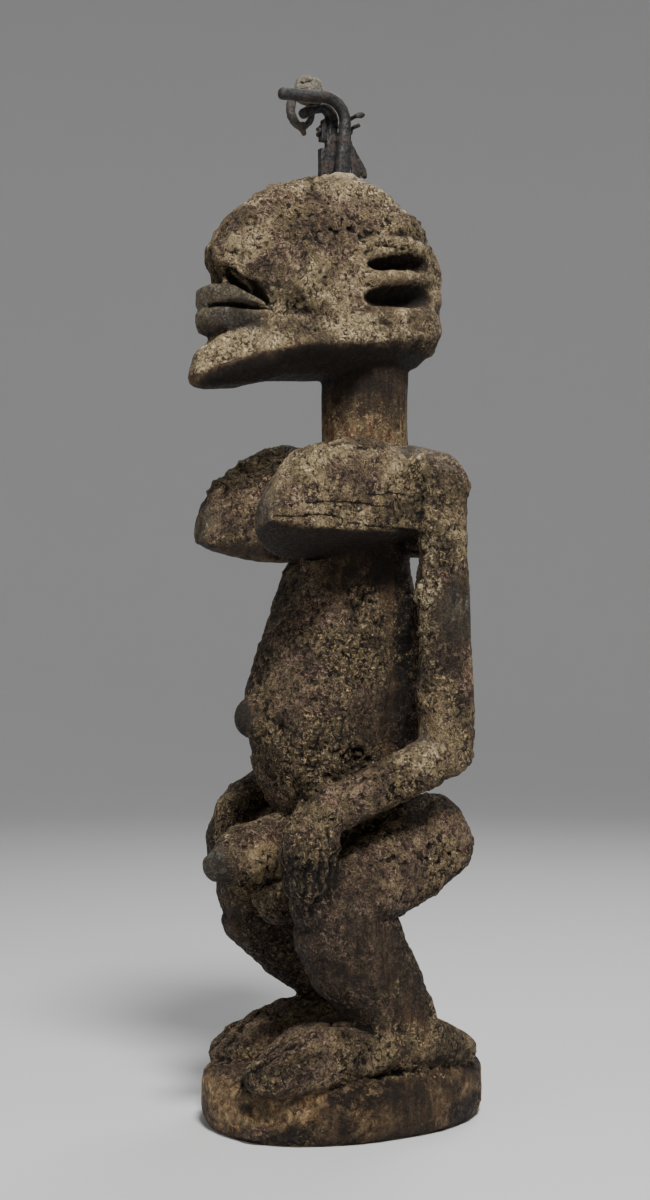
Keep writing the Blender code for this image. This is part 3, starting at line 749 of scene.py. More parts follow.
def grooves():
    """Grooves seen along one axis, on both sides of the body.

    Each is (axis, side, path of the two other coordinates, half width, depth, wobble). A depth below
    zero stands for a raised ridge.
    """
    made = []
    for side in (-1, 1):
        outer = ("x", side)
        made += [
            (*outer, [(-58, 360), (-30, 361), (-6, 359)], 0.8, 1.5, 0.8),
            (*outer, [(-74, 352), (-52, 353), (-36, 352)], 0.9, 1.6, 0.8),
            (*outer, [(-34, 349), (-10, 347), (10, 346)], 0.8, 1.3, 0.8),
            (*outer, [(-20, 366), (0, 367), (12, 366)], 0.6, 0.8, 0.8),
            (*outer, [(-98, 473.4), (-84, 474.2), (-63, 472)], 0.9, 2.0, 0.4),
            (*outer, [(-88, 496), (-82, 492), (-75, 487.5), (-66, 480), (-62, 473)], 1.8, 2.8, 0.8),
            (*outer, [(-10, 512), (2, 517.5), (22, 518), (44, 515)], 3.0, -3.2, 0.8),
            (*outer, [(-10, 493), (4, 495.5), (24, 498), (46, 500)], 2.6, -2.8, 0.8),
            (*outer, [(-14, 469), (4, 474), (24, 475.5), (46, 476)], 3.4, -2.8, 0.8),
            (*outer, [(-50, 214), (-20, 206), (4, 214)], 0.8, 0.7, 1.2),
        ]
        for y in FINGER_GROOVES:
            made.append((*outer, [(y, 166), (y - 1, 150), (y, 134)], 1.4, 1.0, 0.8))
        top = ("z", 1)
        made += [
            (*top, mirrored([(32, -54), (41, -40), (47, -29), (53, -19), (59, -10)], side), 1.7, 3.2, 1.6),
            (*top, mirrored([(20, -30), (30, -34), (40, -31), (47, -35)], side), 0.9, 1.4, 1.2),
        ]
        for x, back, depth in TOE_GROOVES:
            between_toes = mirrored([(x - 4, -86), (x, -70), (x + 9, back)], side)
            made.append((*top, between_toes, 2.6, depth, 1.8))
    return made


def cut_grooves(places, normals, depths):
    """Adds the depth of every groove to depths, in millimetres."""
    axes = {"x": 0, "y": 1, "z": 2}
    for axis, side, path, half_width, depth, wobble in grooves():
        along_axis = axes[axis]
        others = [i for i in range(3) if i != along_axis]
        low = np.min(path, axis=0) - 5
        high = np.max(path, axis=0) + 5
        flat = places[:, others]
        facing = side * normals[:, along_axis]
        near = (flat > low).all(1) & (flat < high).all(1) & (facing > 0.1)
        if axis == "x":
            near &= side * places[:, 0] > 7
        else:
            near &= places[:, 2] < 80
        spots = np.nonzero(near)[0]
        bends = [cell_noise(places[spots], 6.0, seed) for seed in (31, 32)]
        reach, along = polyline_distance(flat[spots] + wobble * np.stack(bends, 1), path)
        fade = smooth_step(along, 0.0, 0.15) * (1 - smooth_step(along, 0.85, 1.0))
        share = 1 - smooth_step(reach, 0.2 * half_width, 1.6 * half_width)
        share = share * smooth_step(facing[spots], 0.1, 0.45)
        depths[spots] += depth * share * (0.35 + 0.65 * fade)


# Round spots on both sides of the body: each is a centre, a radius, a soft edge and a strength.
WORN_SPOTS = (
    ((38, -78, 357), 15, 8, 0.7),
    ((48, 30, 396), 15, 8, 0.7),
    ((60, 20, 222), 12, 8, 0.75),
    ((73, 36, 300), 16, 8, 0.7),
)
PLATE_SPOTS = (
    ((32, -64, 504), 19, 5, 1.0),
    ((30, -26, 520), 9, 4, 1.0),
    ((32, -52, 262), 22, 8, 1.0),
)
# The hanging hands, which get painted shade.
HAND_SPOTS = (((50, -52, 150), 22, 9, 1.0),)


def spots_zone(places, spots):
    """The strength of a spot inside it and 0 away from every spot, the same on both sides."""
    zone = np.zeros(len(places))
    for side in (-1, 1):
        for (x, y, z), radius, soft, strength in spots:
            zone = np.maximum(zone, strength * ball_zone(places, (side * x, y, z), radius, soft))
    return zone


def carving_zones(places, normals):
    """How crusted, sandy and worn each point is, how much painted shade and grime it gets, and how rusty it
    is, from 0 to 1; the sandy dust also carries painted light from above.
    """
    x, y, z = places.T
    up = normals[:, 2]
    side = np.abs(x)
    patch = fractal(places, 34.0, 3)
    speckle = fractal(places, 9.0, 9)
    under_jaw = band(z, 424, 456, 3) * smooth_step(-up, 0.05, 0.45) * (y < 60)
    neck_reach = np.hypot(x, y - NECK_Y)
    on_neck = band(z, 402, 458, 5) * (1 - smooth_step(neck_reach, 29, 33))
    under_breast = band(z, 316, 342, 7) * (side < 52) * smooth_step(-up, -0.5, 0.1)
    under_breast = under_breast * (1 - smooth_step(y, 8, 24))
    under_breast = np.maximum(under_breast, band(z, 330, 352, 4) * smooth_step(-up, 0.2, 0.6))
    navel = ball_zone(places, (0, -72, 240), 11, 4)
    member_tip = ball_zone(places, (0, -90, 153), 15, 7)
    worn = np.maximum(np.maximum(0.8 * navel, member_tip), spots_zone(places, WORN_SPOTS))
    lips = band(z, 459, 487, 2) * (1 - smooth_step(y, -72, -60))
    worn = np.maximum(worn, 0.75 * lips)
    on_plinth = 1 - smooth_step(z, 30, 36)
    plinth_side = on_plinth * smooth_step(np.hypot(x / 67, y / 87), 0.86, 0.95)
    bare_strip = band(z, 205, 322, 14) * band(y, 2, 22, 5) * (side < 50)
    armpit = band(z, 200, 340, 12) * band(side, 38, 51, 3) * smooth_step(y, 8, 16)
    crust = 0.66 + 0.45 * patch + 0.15 * speckle
    crust += 0.35 * band(z, 500, 552, 10) + 0.35 * armpit
    crust -= 1.3 * (under_jaw + on_neck + worn) + 0.8 * under_breast + 0.45 * bare_strip + 0.5 * plinth_side
    crust = np.clip(crust, 0, 1)
    # Sandy dust settles on upward faces: the crown, the jaw top, the breast tops and the lap. It is laid on
    # strongly there and higher up the figure, where it also serves as painted light from above.
    crown = smooth_step(z, 534, 549) * smooth_step(up, 0.35, 0.8)
    jaw_top = band(z, 437, 470, 3) * smooth_step(up, -0.25, 0.15)
    breast_top = band(z, 362, 402, 6) * smooth_step(up, 0.2, 0.7) * (y < 20)
    ears = band(z, 468, 520, 4) * band(y, -8, 60, 4) * smooth_step(side, 26, 30)
    lap = band(z, 150, 190, 6) * smooth_step(up, 0.3, 0.8)
    sand_and_toplight = 1.2 * crown + 1.05 * jaw_top + 0.65 * breast_top + 0.35 * ears + 0.35 * lap
    sand_and_toplight += 0.22 * smooth_step(up, 0.0, 0.9) + 0.38 * smooth_step(z, 395, 480) * (1 - on_neck)
    on_arm = band(z, 205, 392, 10) * smooth_step(side, 50, 58)
    sand_and_toplight += 0.38 * on_arm * smooth_step(patch + 0.6 * speckle, -0.1, 0.5)
    sand_and_toplight += 0.22 * speckle + 0.15 * patch
    sand_and_toplight *= 1 - 0.9 * np.clip(under_jaw + on_neck + under_breast + worn, 0, 1)
    member_patch = ball_zone(places, (18, -58, 155), 15, 5)
    sand_and_toplight = np.maximum(sand_and_toplight, 1.1 * member_patch)
    sand_and_toplight += 0.28 * band(z, 455, 520, 10) + 0.2 * on_arm
    hand = spots_zone(places, HAND_SPOTS)
    shins = band(z, 66, 128, 10) * (side < 64)
    crust *= 1 - 0.35 * shins
    sand_and_toplight *= 1 - 0.75 * plinth_side
    toes = band(z, 30, 60, 8) * (1 - smooth_step(y, -62, -48))
    slots = np.zeros(len(places))
    for slot_y, slot_z, height in EAR_SLOTS:
        along = y - slot_y
        inside = np.hypot(along / EAR_SLOT_HALF_LENGTH, (z - slot_z - 0.12 * along) / (1.15 * height))
        slot = (1 - smooth_step(inside, 0.75, 1.0)) * smooth_step(35 - side, 0.5, 3.5) * (side > 18)
        slots = np.maximum(slots, slot)
    crust *= 1 - 0.7 * slots
    sand_and_toplight *= 1 - slots
    inner_arm = band(z, 262, 345, 14) * band(y, 12, 34, 8) * smooth_step(side, 52, 60)
    low_body = band(z, 130, 330, 30) * smooth_step(60 - side, -6, 10)
    # Painted shade inside the ear slots, on the inner arms beside the torso, and lower on the body where the
    # light falls off. The navel and lips are a little darker too.
    shade_and_smudge = 0.95 * slots + 0.5 * navel + 0.6 * inner_arm + 0.38 * low_body + 0.3 * lips
    # Painted shade under the jaw and under the breasts, a painted cast shadow from the jaw on the top of the
    # neck, and painted shade in the armpits.
    shade_and_smudge += 0.95 * under_jaw + 0.75 * on_neck * smooth_step(z, 412, 436) + 0.95 * under_breast + 0.6 * armpit
    # Painted shade on faces turned downwards, and on the hands, shins and toes low on the figure.
    shade_and_smudge += 0.45 * smooth_step(-up, 0.35, 0.85) + 0.85 * hand + 0.68 * shins + 0.55 * toes
    shade_and_smudge *= 1 - 0.9 * member_patch
    # Darker smears along the plinth's sides and random darker specks: grime on the wood.
    smear = plinth_side * smooth_step(fractal(places * (1, 1, 2.2), 40.0, 21), 0.25, 0.6)
    shade_and_smudge += 0.8 * smear + 0.3 * smooth_step(-speckle, 0.35, 0.8)
    rust = plinth_side * smooth_step(fractal(places * (1, 1, 1.6), 26.0, 15), -0.22, 0.2)
    # The rust patches on the plinth grow stronger towards the front, where they also serve as painted light
    # on that side.
    rust *= 0.45 + 0.55 * smooth_step(-y, -25, 50)
    # Darker along the middle of the plinth's sides and in patches near their top edge.
    shade_and_smudge += plinth_side * (0.55 * smooth_step(y, -62, -30) * (1 - 0.6 * smooth_step(y, 0, 40)) + 0.15)
    shade_and_smudge += 0.7 * band(z, 23, 31, 4) * band(y, -48, 22, 14) * plinth_side * smooth_step(patch, -0.2, 0.2)
    rust = np.maximum(rust, 0.6 * member_patch)
    rust += 0.35 * on_neck * (1 - smooth_step(z, 405, 428))
    rust += 0.25 * smooth_step(patch, 0.3, 0.7) * (1 - crust)
    return crust, sand_and_toplight, shade_and_smudge, worn, rust


def smooth_plates(places):
    """Where the crust lies in smooth reddish plates instead of crumbs, from 0 to 1."""
    plates = smooth_step(fractal(places, 30.0, 77, 3), -0.06, 0.14)
    return np.maximum(plates, spots_zone(places, PLATE_SPOTS))


def crust_relief(places, crust, smooth):
    """Height of the encrustation in millimetres: broken plates, lumps and pits."""
    swirl = np.stack([cell_noise(places, 11.0, s) for s in (41, 42, 43)], 1)
    ragged = np.stack([cell_noise(places, 2.8, s) for s in (44, 45, 46)], 1)
    bent = places + 2.5 * swirl + 1.1 * ragged
    levels = 4.2 * fractal(bent, 20.0, 5, 4, 0.55)
    plates = np.floor(levels) + smooth_step(levels - np.floor(levels), 0.3, 0.62)
    flakes = smooth_step(fractal(bent, 10.0, 15, 4, 0.6), 0.02, 0.2)
    crumbs = np.abs(fractal(bent, 6.5, 11, 3, 0.6))
    lumps = fractal(bent, 4.2, 19, 2, 0.7)
    y, z = places[:, 1], places[:, 2]
    rough_spots = band(z, 512, 548, 8) * smooth_step(y, -60, -30) + band(z, 205, 330, 14) * band(y, -34, 6, 8)
    rough_spots += band(z, 150, 205, 6) * smooth_step(y, -30, 0)
    clusters = np.clip(rough_spots, 0, 1) * smooth_step(fractal(places, 30.0, 55, 2), -0.1, 0.2)
    cavities = clusters * smooth_step(fractal(bent, 5.0, 51, 2), 0.1, 0.4)
    loose = 1 - 0.72 * smooth
    height = 0.6 * plates + 0.3 * flakes + loose * (1.6 * crumbs + 0.3 * lumps) - 2.4 * cavities - 0.3
    return crust * height


def carving_lumps(home):
    lumps = [plinth(home), torso(home), neck(home), shoulders(home)]
    lumps += [skull(home)] + face(home)
    lumps += groin(home)
    for side in (-1, 1):
        lumps.append(breast(home, side))
        lumps += arm(home, side)
        lumps += leg(home, side)
    return lumps


def sculpted_carving(home):
    """The whole carving: lumps joined into one skin, roughened, cut flat below and given its colours."""
    figure = joined("figure_wood", carving_lumps(home), home)
    skin = remeshed(figure, FINE_VOXEL, FINE_SMOOTHING)
    ends = edge_ends(skin)
    places, normals = surface(skin)
    crust, sand_and_toplight, shade_and_smudge, worn, rust = carving_zones(places, normals)
    crust = relax(crust, ends, 2)
    broad = 0.6 * cell_noise(places, 38.0, 71) + 0.35 * cell_noise(places, 17.0, 72)
    tool_marks = 0.35 * np.abs(cell_noise(places * (1, 1, 0.6), 11.0, 73))
    wood_grain = 0.12 * fractal(places * (1, 1, 0.12), 1.8, 74, 2)
    calm = 1 - 0.65 * np.clip(worn, 0, 1)
    depth = np.zeros(len(places))
    cut_grooves(places, normals, depth)
    smooth = smooth_plates(places)
    relief = crust_relief(places, crust, smooth)
    height = calm * (broad - tool_marks) + relief + (1 - crust) * wood_grain - depth
    base_lock = smooth_step(places[:, 2], *BASE_LOCK)
    lift(skin, places, normals, height * base_lock)
    places, normals = surface(skin)
    # How far each point stands out from its neighbours, less the depth of its groove: the material paints
    # crevice shade from this into hollows, grooves and the gaps between plates, and makes ridges lighter.
    edge = ((places - relax(places, ends, 3)) * normals).sum(1)
    none = np.zeros(len(places))
    # The crust, the sandy dust with its painted light from above, and the painted shade with grime.
    write_colours(skin, "zone", (crust, sand_and_toplight, shade_and_smudge))
    write_colours(skin, "wear_and_crevice_shade", (worn, rust, 0.5 + 1.6 * edge - 0.25 * np.clip(depth, 0, 1.5)))
    write_colours(skin, "layer", (smooth, none, none))
    thin = figure.modifiers.new("thin", "DECIMATE")
    thin.ratio = FINE_TRIANGLES / (2 * len(skin.polygons))
    below_floor = block("floor_cut", (0, 0, -30), (400, 400, 60), home)
    cut_away(figure, [below_floor, socket_cutter("socket_cut", home)])
    return joined("figure_wood", [figure, stalks(figure.data, home)], home)


def read_colours(mesh, name):
    values = np.empty(len(mesh.vertices) * 4, dtype=np.float32)
    mesh.color_attributes[name].data.foreach_get("color", values)
    return values.reshape(-1, 4)[:, :3].T


def stalk_weights(mesh, places):
    """How likely a stalk is to lie at each vertex."""
    crust, sand_and_toplight, shade_and_smudge = read_colours(mesh, "zone")
    worn = read_colours(mesh, "wear_and_crevice_shade")[0]
    weight = np.clip(crust, 0, 1) * (0.25 + np.clip(sand_and_toplight, 0, 1)) * (1 - 0.85 * np.clip(shade_and_smudge + worn, 0, 1))
    weight *= (places[:, 2] > 8) * (0.4 + smooth_step(cell_noise(places, 16.0, 213), -0.3, 0.4))
    return weight / weight.sum()


def stalks(mesh, home):
    """Short dry stalks and chaff caught in the crust, each a thin bent rod lying on the surface."""
    places, normals = surface(mesh)
    draw = np.random.default_rng(211)
    chosen = draw.choice(len(places), STALKS, replace=False, p=stalk_weights(mesh, places))
    tree = kdtree.KDTree(len(places))
    for index, place in enumerate(places):
        tree.insert(place, index)
    tree.balance()
    work = bmesh.new()
    tones = []
    for start in chosen:
        place, normal = Vector(places[start]), Vector(normals[start])
        along = normal.cross(Vector(draw.normal(size=3))).normalized()
        across = normal.cross(along)
        half_length, radius = draw.uniform(*STALK_HALF_LENGTHS), draw.uniform(*STALK_RADII)
        bend, tone = draw.uniform(*STALK_BENDS), draw.uniform(*STALK_TONES)
        rings = []
        for step in (-1, 0, 1):
            point = place + along * half_length * step + across * bend * step * step
            ground = tree.find(point)[0]
            point += normal * ((ground - point).dot(normal) + 0.35 * radius)
            thick = radius * (1.0 if step == 0 else 0.6)
            corners = []
            for turn in (90, 210, 330):
                turned = across * math.cos(math.radians(turn)) + normal * math.sin(math.radians(turn))
                corners.append(work.verts.new((point + turned * thick) * MM))
            rings.append(corners)
            tones += [tone] * 3
        for first, second in zip(rings, rings[1:]):
            for k in range(3):
                work.faces.new((first[k], first[(k + 1) % 3], second[(k + 1) % 3], second[k]))
        work.faces.new(rings[0][::-1])
        work.faces.new(rings[-1])
    chaff = finished_mesh("stalks", work)
    none, full = np.zeros(len(tones)), np.ones(len(tones))
    write_colours(chaff, "zone", (full, full, none))
    write_colours(chaff, "wear_and_crevice_shade", (none, none, 0.5 * full))
    write_colours(chaff, "layer", (none, full, np.array(tones)))
    return new_object("stalks", chaff, home)


# ---------------------------------------------------------------- materials


class Look:
    """A Principled material and short ways to add the nodes that feed it."""

    def __init__(self, name, roughness, metallic=0.0):
        self.material = bpy.data.materials.new(name)
        self.material.use_nodes = True
        self.nodes = self.material.node_tree.nodes
        self.links = self.material.node_tree.links
        self.shader = self.nodes["Principled BSDF"]
        self.shader.inputs["Roughness"].default_value = roughness
        self.shader.inputs["Metallic"].default_value = metallic
        self.place = self.nodes.new("ShaderNodeTexCoord").outputs["Object"]

    def feed(self, socket, value):
        if hasattr(value, "is_output"):
            self.links.new(value, socket)
        elif hasattr(value, "__len__") and len(value) == 3 and socket.type == "RGBA":
            socket.default_value = (*value, 1.0)
        else:
            socket.default_value = value

    def stretched(self, scale):
        node = self.nodes.new("ShaderNodeMapping")
        self.links.new(self.place, node.inputs["Vector"])
        node.inputs["Scale"].default_value = scale
        return node.outputs["Vector"]

    def noise(self, per_metre, detail=3.0, rough=0.6, distortion=0.0, place=None):
        node = self.nodes.new("ShaderNodeTexNoise")
        self.links.new(place or self.place, node.inputs["Vector"])
        node.inputs["Scale"].default_value = per_metre
        node.inputs["Detail"].default_value = detail
        node.inputs["Roughness"].default_value = rough
        node.inputs["Distortion"].default_value = distortion
        return node.outputs["Fac"]

    def ramp(self, value, low, high, start=0.0, end=1.0):
        node = self.nodes.new("ShaderNodeMapRange")
        node.interpolation_type = "SMOOTHSTEP"
        self.feed(node.inputs["Value"], value)
        for socket, number in zip(("From Min", "From Max", "To Min", "To Max"), (low, high, start, end)):
            node.inputs[socket].default_value = number
        return node.outputs["Result"]

    def maths(self, operation, a, b=0.5, clamp=False):
        node = self.nodes.new("ShaderNodeMath")
        node.operation = operation
        node.use_clamp = clamp
        self.feed(node.inputs[0], a)
        self.feed(node.inputs[1], b)
        return node.outputs[0]

    def plus(self, a, b, clamp=False):
        return self.maths("ADD", a, b, clamp)

    def minus(self, a, b, clamp=False):
        return self.maths("SUBTRACT", a, b, clamp)

    def times(self, a, b):
        return self.maths("MULTIPLY", a, b)

    def tones(self, value, *stops):
        """A colour ramp: each stop is a position and a colour."""
        node = self.nodes.new("ShaderNodeValToRGB")
        self.feed(node.inputs["Fac"], value)
        points = node.color_ramp.elements
        while len(points) < len(stops):
            points.new(0.5)
        # Colours are set after every place, because moving a stop can reorder them.
        for point, stop in zip(points, sorted(stops)):
            point.position = stop[0]
        for point, stop in zip(points, sorted(stops)):
            point.color = (*stop[1:], 1.0)
        return node.outputs["Color"]

    def mix(self, share, a, b, blend="MIX"):
        node = self.nodes.new("ShaderNodeMix")
        node.data_type = "RGBA"
        node.blend_type = blend
        self.feed(node.inputs["Factor"], share)
        self.feed(node.inputs["A"], a)
        self.feed(node.inputs["B"], b)
        return node.outputs["Result"]

    def channels(self, name):
        node = self.nodes.new("ShaderNodeAttribute")
        node.attribute_name = name
        apart = self.nodes.new("ShaderNodeSeparateColor")
        self.links.new(node.outputs["Color"], apart.inputs["Color"])
        return apart.outputs

    def threads(self, per_metre, width, distortion=2.0):
        """Thin wandering lines: where a noise crosses its middle value."""
        away = self.minus(self.noise(per_metre, 1.0, 0.5, distortion), 0.5)
        return self.ramp(self.maths("ABSOLUTE", away), 0.0, width, 1.0, 0.0)

    def finish(self, colour, roughness, height, distance, strength=1.0):
        self.feed(self.shader.inputs["Base Color"], colour)
        self.feed(self.shader.inputs["Roughness"], roughness)
        bump = self.nodes.new("ShaderNodeBump")
        bump.inputs["Strength"].default_value = strength
        bump.inputs["Distance"].default_value = distance
        self.feed(bump.inputs["Height"], height)
        self.links.new(bump.outputs["Normal"], self.shader.inputs["Normal"])
        return self.material


THREAD_STRAW = (0.66, 0.50, 0.26)
# A pale straw colour for painted glint highlights.
PAINTED_GLINT = (0.70, 0.55, 0.31)
DULL_STALK = (0.17, 0.115, 0.055)
BRIGHT_STALK = (0.72, 0.56, 0.31)
DAMP_BROWN = (0.016, 0.012, 0.009)
# Near black for painted shade and for grime smudges.
SHADE_AND_SMUDGE_BLACK = (0.012, 0.009, 0.007)
# Near black for painted crevice shade.
CREVICE_SHADE = (0.006, 0.005, 0.004)
RUBBED_EDGE = (0.30, 0.215, 0.12)


def crusted_wood():
    """Old wood under libation crust: the zones of the skin choose between its colours, and painted shade,
    painted crevice shade and painted glints go over them.
    """
    look = Look("crusted_wood", 0.8)
    look.shader.inputs["Specular IOR Level"].default_value = 0.22
    crust, sand_and_toplight, shade_and_smudge = look.channels("zone")
    worn, rust, edge = look.channels("wear_and_crevice_shade")
    smooth, chaff, tone = look.channels("layer")
    upright = look.stretched((1.0, 1.0, 0.08))
    grain = look.noise(300, 4, 0.65, 0.5, upright)
    blotch = look.noise(38, 4, 0.62, 0.4)
    hue = look.noise(64, 4, 0.6, 0.6)
    speck = look.noise(360, 5, 0.68, 1.2)
    fine = look.noise(950, 3, 0.65)
    mixed = look.plus(look.times(speck, 0.72), look.times(fine, 0.28))
    wood = look.tones(
        grain,
        (0.34, 0.016, 0.010, 0.007),
        (0.5, 0.070, 0.036, 0.020),
        (0.62, 0.18, 0.098, 0.052),
    )
    crumbs = look.tones(
        mixed,
        (0.40, 0.006, 0.004, 0.003),
        (0.46, 0.044, 0.029, 0.020),
        (0.52, 0.130, 0.088, 0.058),
        (0.57, 0.34, 0.232, 0.122),
        (0.615, 0.88, 0.67, 0.34),
    )
    plate = look.tones(
        mixed,
        (0.39, 0.010, 0.006, 0.004),
        (0.47, 0.082, 0.050, 0.037),
        (0.54, 0.215, 0.130, 0.094),
        (0.62, 0.56, 0.39, 0.27),
    )
    # Tones of the sandy dust, which also carry painted light on upward faces and higher up.
    sand_and_toplight_tones = look.tones(
        mixed,
        (0.39, 0.012, 0.009, 0.006),
        (0.45, 0.160, 0.113, 0.067),
        (0.525, 0.52, 0.395, 0.232),
        (0.60, 0.99, 0.83, 0.52),
    )
    rusty = look.tones(
        look.noise(150, 5, 0.75, 0.6),
        (0.36, 0.030, 0.017, 0.010),
        (0.46, 0.170, 0.090, 0.044),
        (0.54, 0.46, 0.275, 0.130),
        (0.62, 0.92, 0.66, 0.34),
    )
    rubbed = look.tones(
        mixed,
        (0.38, 0.016, 0.015, 0.013),
        (0.5, 0.070, 0.069, 0.058),
        (0.62, 0.24, 0.23, 0.185),
    )
    plated = look.plus(smooth, look.ramp(hue, 0.4, 0.6, -0.35, 0.35), True)
    crusted = look.mix(look.ramp(plated, 0.35, 0.65, 0.0, 0.95), crumbs, plate)
    colour = look.mix(look.ramp(crust, 0.15, 0.5), wood, crusted)
    # The share of sandy dust, which also carries painted light on upward faces and higher up.
    sand_and_toplight_share = look.plus(sand_and_toplight, look.ramp(blotch, 0.35, 0.65, -0.38, 0.18), True)
    sand_and_toplight_share = look.minus(sand_and_toplight_share, look.times(smooth, 0.22), True)
    colour = look.mix(look.ramp(sand_and_toplight_share, 0.2, 0.9), colour, sand_and_toplight_tones)
    colour = look.mix(look.times(rust, 0.9), colour, rusty)
    worn_share = look.times(worn, look.ramp(look.noise(210, 3, 0.6), 0.3, 0.55, 0.5, 1.0))
    colour = look.mix(worn_share, colour, rubbed)
    calm = look.minus(1.0, look.maths("MAXIMUM", worn, shade_and_smudge), True)
    threads = look.maths("MAXIMUM", look.threads(190, 0.05, 2.5), look.threads(340, 0.07, 3.5))
    threads = look.times(threads, look.ramp(look.noise(130, 3), 0.46, 0.54))
    threads = look.times(threads, calm)
    colour = look.mix(look.times(threads, 0.9), colour, THREAD_STRAW)
    # Painted glints: sparse bright specks laid into the colour as highlights, kept off worn and shaded
    # places.
    glints = look.times(look.ramp(look.noise(420, 3, 0.6, 1.0), 0.6, 0.66), calm)
    colour = look.mix(look.times(glints, 0.8), colour, PAINTED_GLINT)
    colour = look.mix(look.ramp(blotch, 0.36, 0.56, 0.62, 0.0), colour, DAMP_BROWN)
    # Near black laid over the colour: painted shade from the zones, together with the smudges and specks that
    # share that mask. Bright crust flecks show through it.
    spared = look.times(crust, look.ramp(mixed, 0.5, 0.58, 0.0, 0.7))
    shaded = look.maths("MULTIPLY", shade_and_smudge, look.minus(0.92, spared), True)
    colour = look.mix(shaded, colour, SHADE_AND_SMUDGE_BLACK)
    # Painted crevice shade: hollows, grooves and the gaps between plates go towards near black.
    colour = look.mix(look.ramp(edge, 0.05, 0.45, 0.92, 0.0), colour, CREVICE_SHADE)
    colour = look.mix(look.ramp(edge, 0.6, 1.0, 0.0, 0.3), colour, RUBBED_EDGE)
    colour = look.mix(chaff, colour, look.mix(tone, DULL_STALK, BRIGHT_STALK))
    rough = look.ramp(mixed, 0.42, 0.6, 0.85, 0.5)
    relief = look.times(mixed, look.ramp(crust, 0.1, 0.6, 0.9, 2.2))
    relief = look.plus(relief, look.times(grain, look.ramp(crust, 0.1, 0.6, 0.5, 0.1)))
    relief = look.plus(relief, look.times(threads, 0.5))
    return look.finish(colour, rough, relief, 0.0030, 1.0)


def forged_iron():
    look = Look("forged_iron", 0.6, 0.25)
    blotch = look.noise(110, 4, 0.6)
    speck = look.noise(600, 4, 0.65)
    tone = look.mix(look.ramp(speck, 0.38, 0.62), (0.008, 0.008, 0.008), (0.034, 0.032, 0.031))
    rust = look.mix(look.ramp(speck, 0.38, 0.6), (0.028, 0.019, 0.015), (0.085, 0.053, 0.038))
    tone = look.mix(look.ramp(blotch, 0.48, 0.64, 0.0, 0.7), tone, rust)
    dust = look.ramp(look.noise(300, 4, 0.7), 0.58, 0.7, 0.0, 0.4)
    tone = look.mix(dust, tone, (0.10, 0.082, 0.060))
    rough = look.ramp(blotch, 0.4, 0.65, 0.48, 0.85)
    relief = look.plus(speck, look.times(blotch, 1.5))
    return look.finish(tone, rough, relief, 0.0006, 0.8)


def libation_paste():
    look = Look("libation_paste", 0.95)
    speck = look.noise(500, 4, 0.65)
    blotch = look.noise(120, 3, 0.6)
    tone = look.mix(look.ramp(speck, 0.3, 0.65), (0.11, 0.082, 0.050), (0.36, 0.285, 0.18))
    tone = look.mix(look.ramp(blotch, 0.5, 0.68, 0.0, 0.6), tone, (0.13, 0.095, 0.065))
    tone = look.mix(look.times(look.threads(350, 0.014), 0.6), tone, (0.55, 0.45, 0.28))
    return look.finish(tone, 0.95, speck, 0.0012)


def dried_hide(name, light, shadow, stain):
    look = Look(name, 0.88)
    speck = look.noise(620, 4, 0.65)
    blotch = look.noise(160, 3, 0.6)
    folds = look.threads(170, 0.02, 1.0)
    tone = look.mix(look.ramp(speck, 0.3, 0.66), shadow, light)
    tone = look.mix(look.ramp(blotch, 0.5, 0.66, 0.0, 0.65), tone, stain)
    tone = look.mix(look.times(folds, 0.6), tone, (0.09, 0.055, 0.038))
    return look.finish(tone, 0.88, look.minus(speck, look.times(folds, 0.6)), 0.0007)


# ---------------------------------------------------------------- irons, packing and amulet in detail


def dress(obj, name, material, body, node):
    """Names a finished piece, gives it its look and ties it to the frame."""
    obj.name = name
    obj.data.materials.clear()
    obj.data.materials.append(material)
    obj.data.shade_smooth()
    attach(obj, body)
    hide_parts(node)
    return obj


def between(stations, steps):
    """More stations along a limb, evenly between the given ones."""
    made = []
    for first, second in zip(stations, stations[1:]):
        for i in range(steps):
            share = i / steps
            made.append(tuple(a * (1 - share) + b * share for a, b in zip(first, second)))
    made.append(stations[-1])
    return made


def hammered(obj, size, depth, seed, fine):
    """Roughens a fine skin with hammer marks and pitting, in millimetres."""
    places, normals = surface(obj.data)
    height = -depth * np.abs(cell_noise(places, size, seed)) + fine * fractal(places, 1.5, seed + 3, 2)
    lift(obj.data, places, normals, height)
    return obj


def hammered_main_hook(home):
    """The round bar with a flattened tang, bent forward at the top."""
    r = HOOK_RADIUS
    stations = [
        (0, HOOK_Y - 1.8, 545, 2.6, 4.4, 3.2),
        (0, HOOK_Y - 1.8, 556, 2.9, 4.6, 3.2),
        (0, HOOK_Y - 1.6, 566, 3.1, 4.6, 3.0),
        (0, HOOK_Y - 1.0, 578, 3.4, 4.4, 2.6),
        (0, HOOK_Y - 0.3, 586, r, 4.0, 2.3),
        (0, HOOK_Y, HOOK_BAR_Z - HOOK_BEND - 2, r, r + 0.2, 2.1),
    ]
    for y, z in arc(HOOK_Y - HOOK_BEND, HOOK_BAR_Z - HOOK_BEND, HOOK_BEND, 0, 90, 14):
        stations.append((0, y, z, r, r, 2.1))
    stations += [
        (0, -24, HOOK_BAR_Z - 1.3, r, r, 2.1),
        (0, HOOK_BAR_END_Y, HOOK_BAR_Z - 3.0, r, r, 2.1),
    ]
    bar = limb("bar", between(stations, 5), home, count=40)
    remeshed(bar, 0.6, 1)
    return hammered(bar, 7.0, 0.3, 81, 0.07)


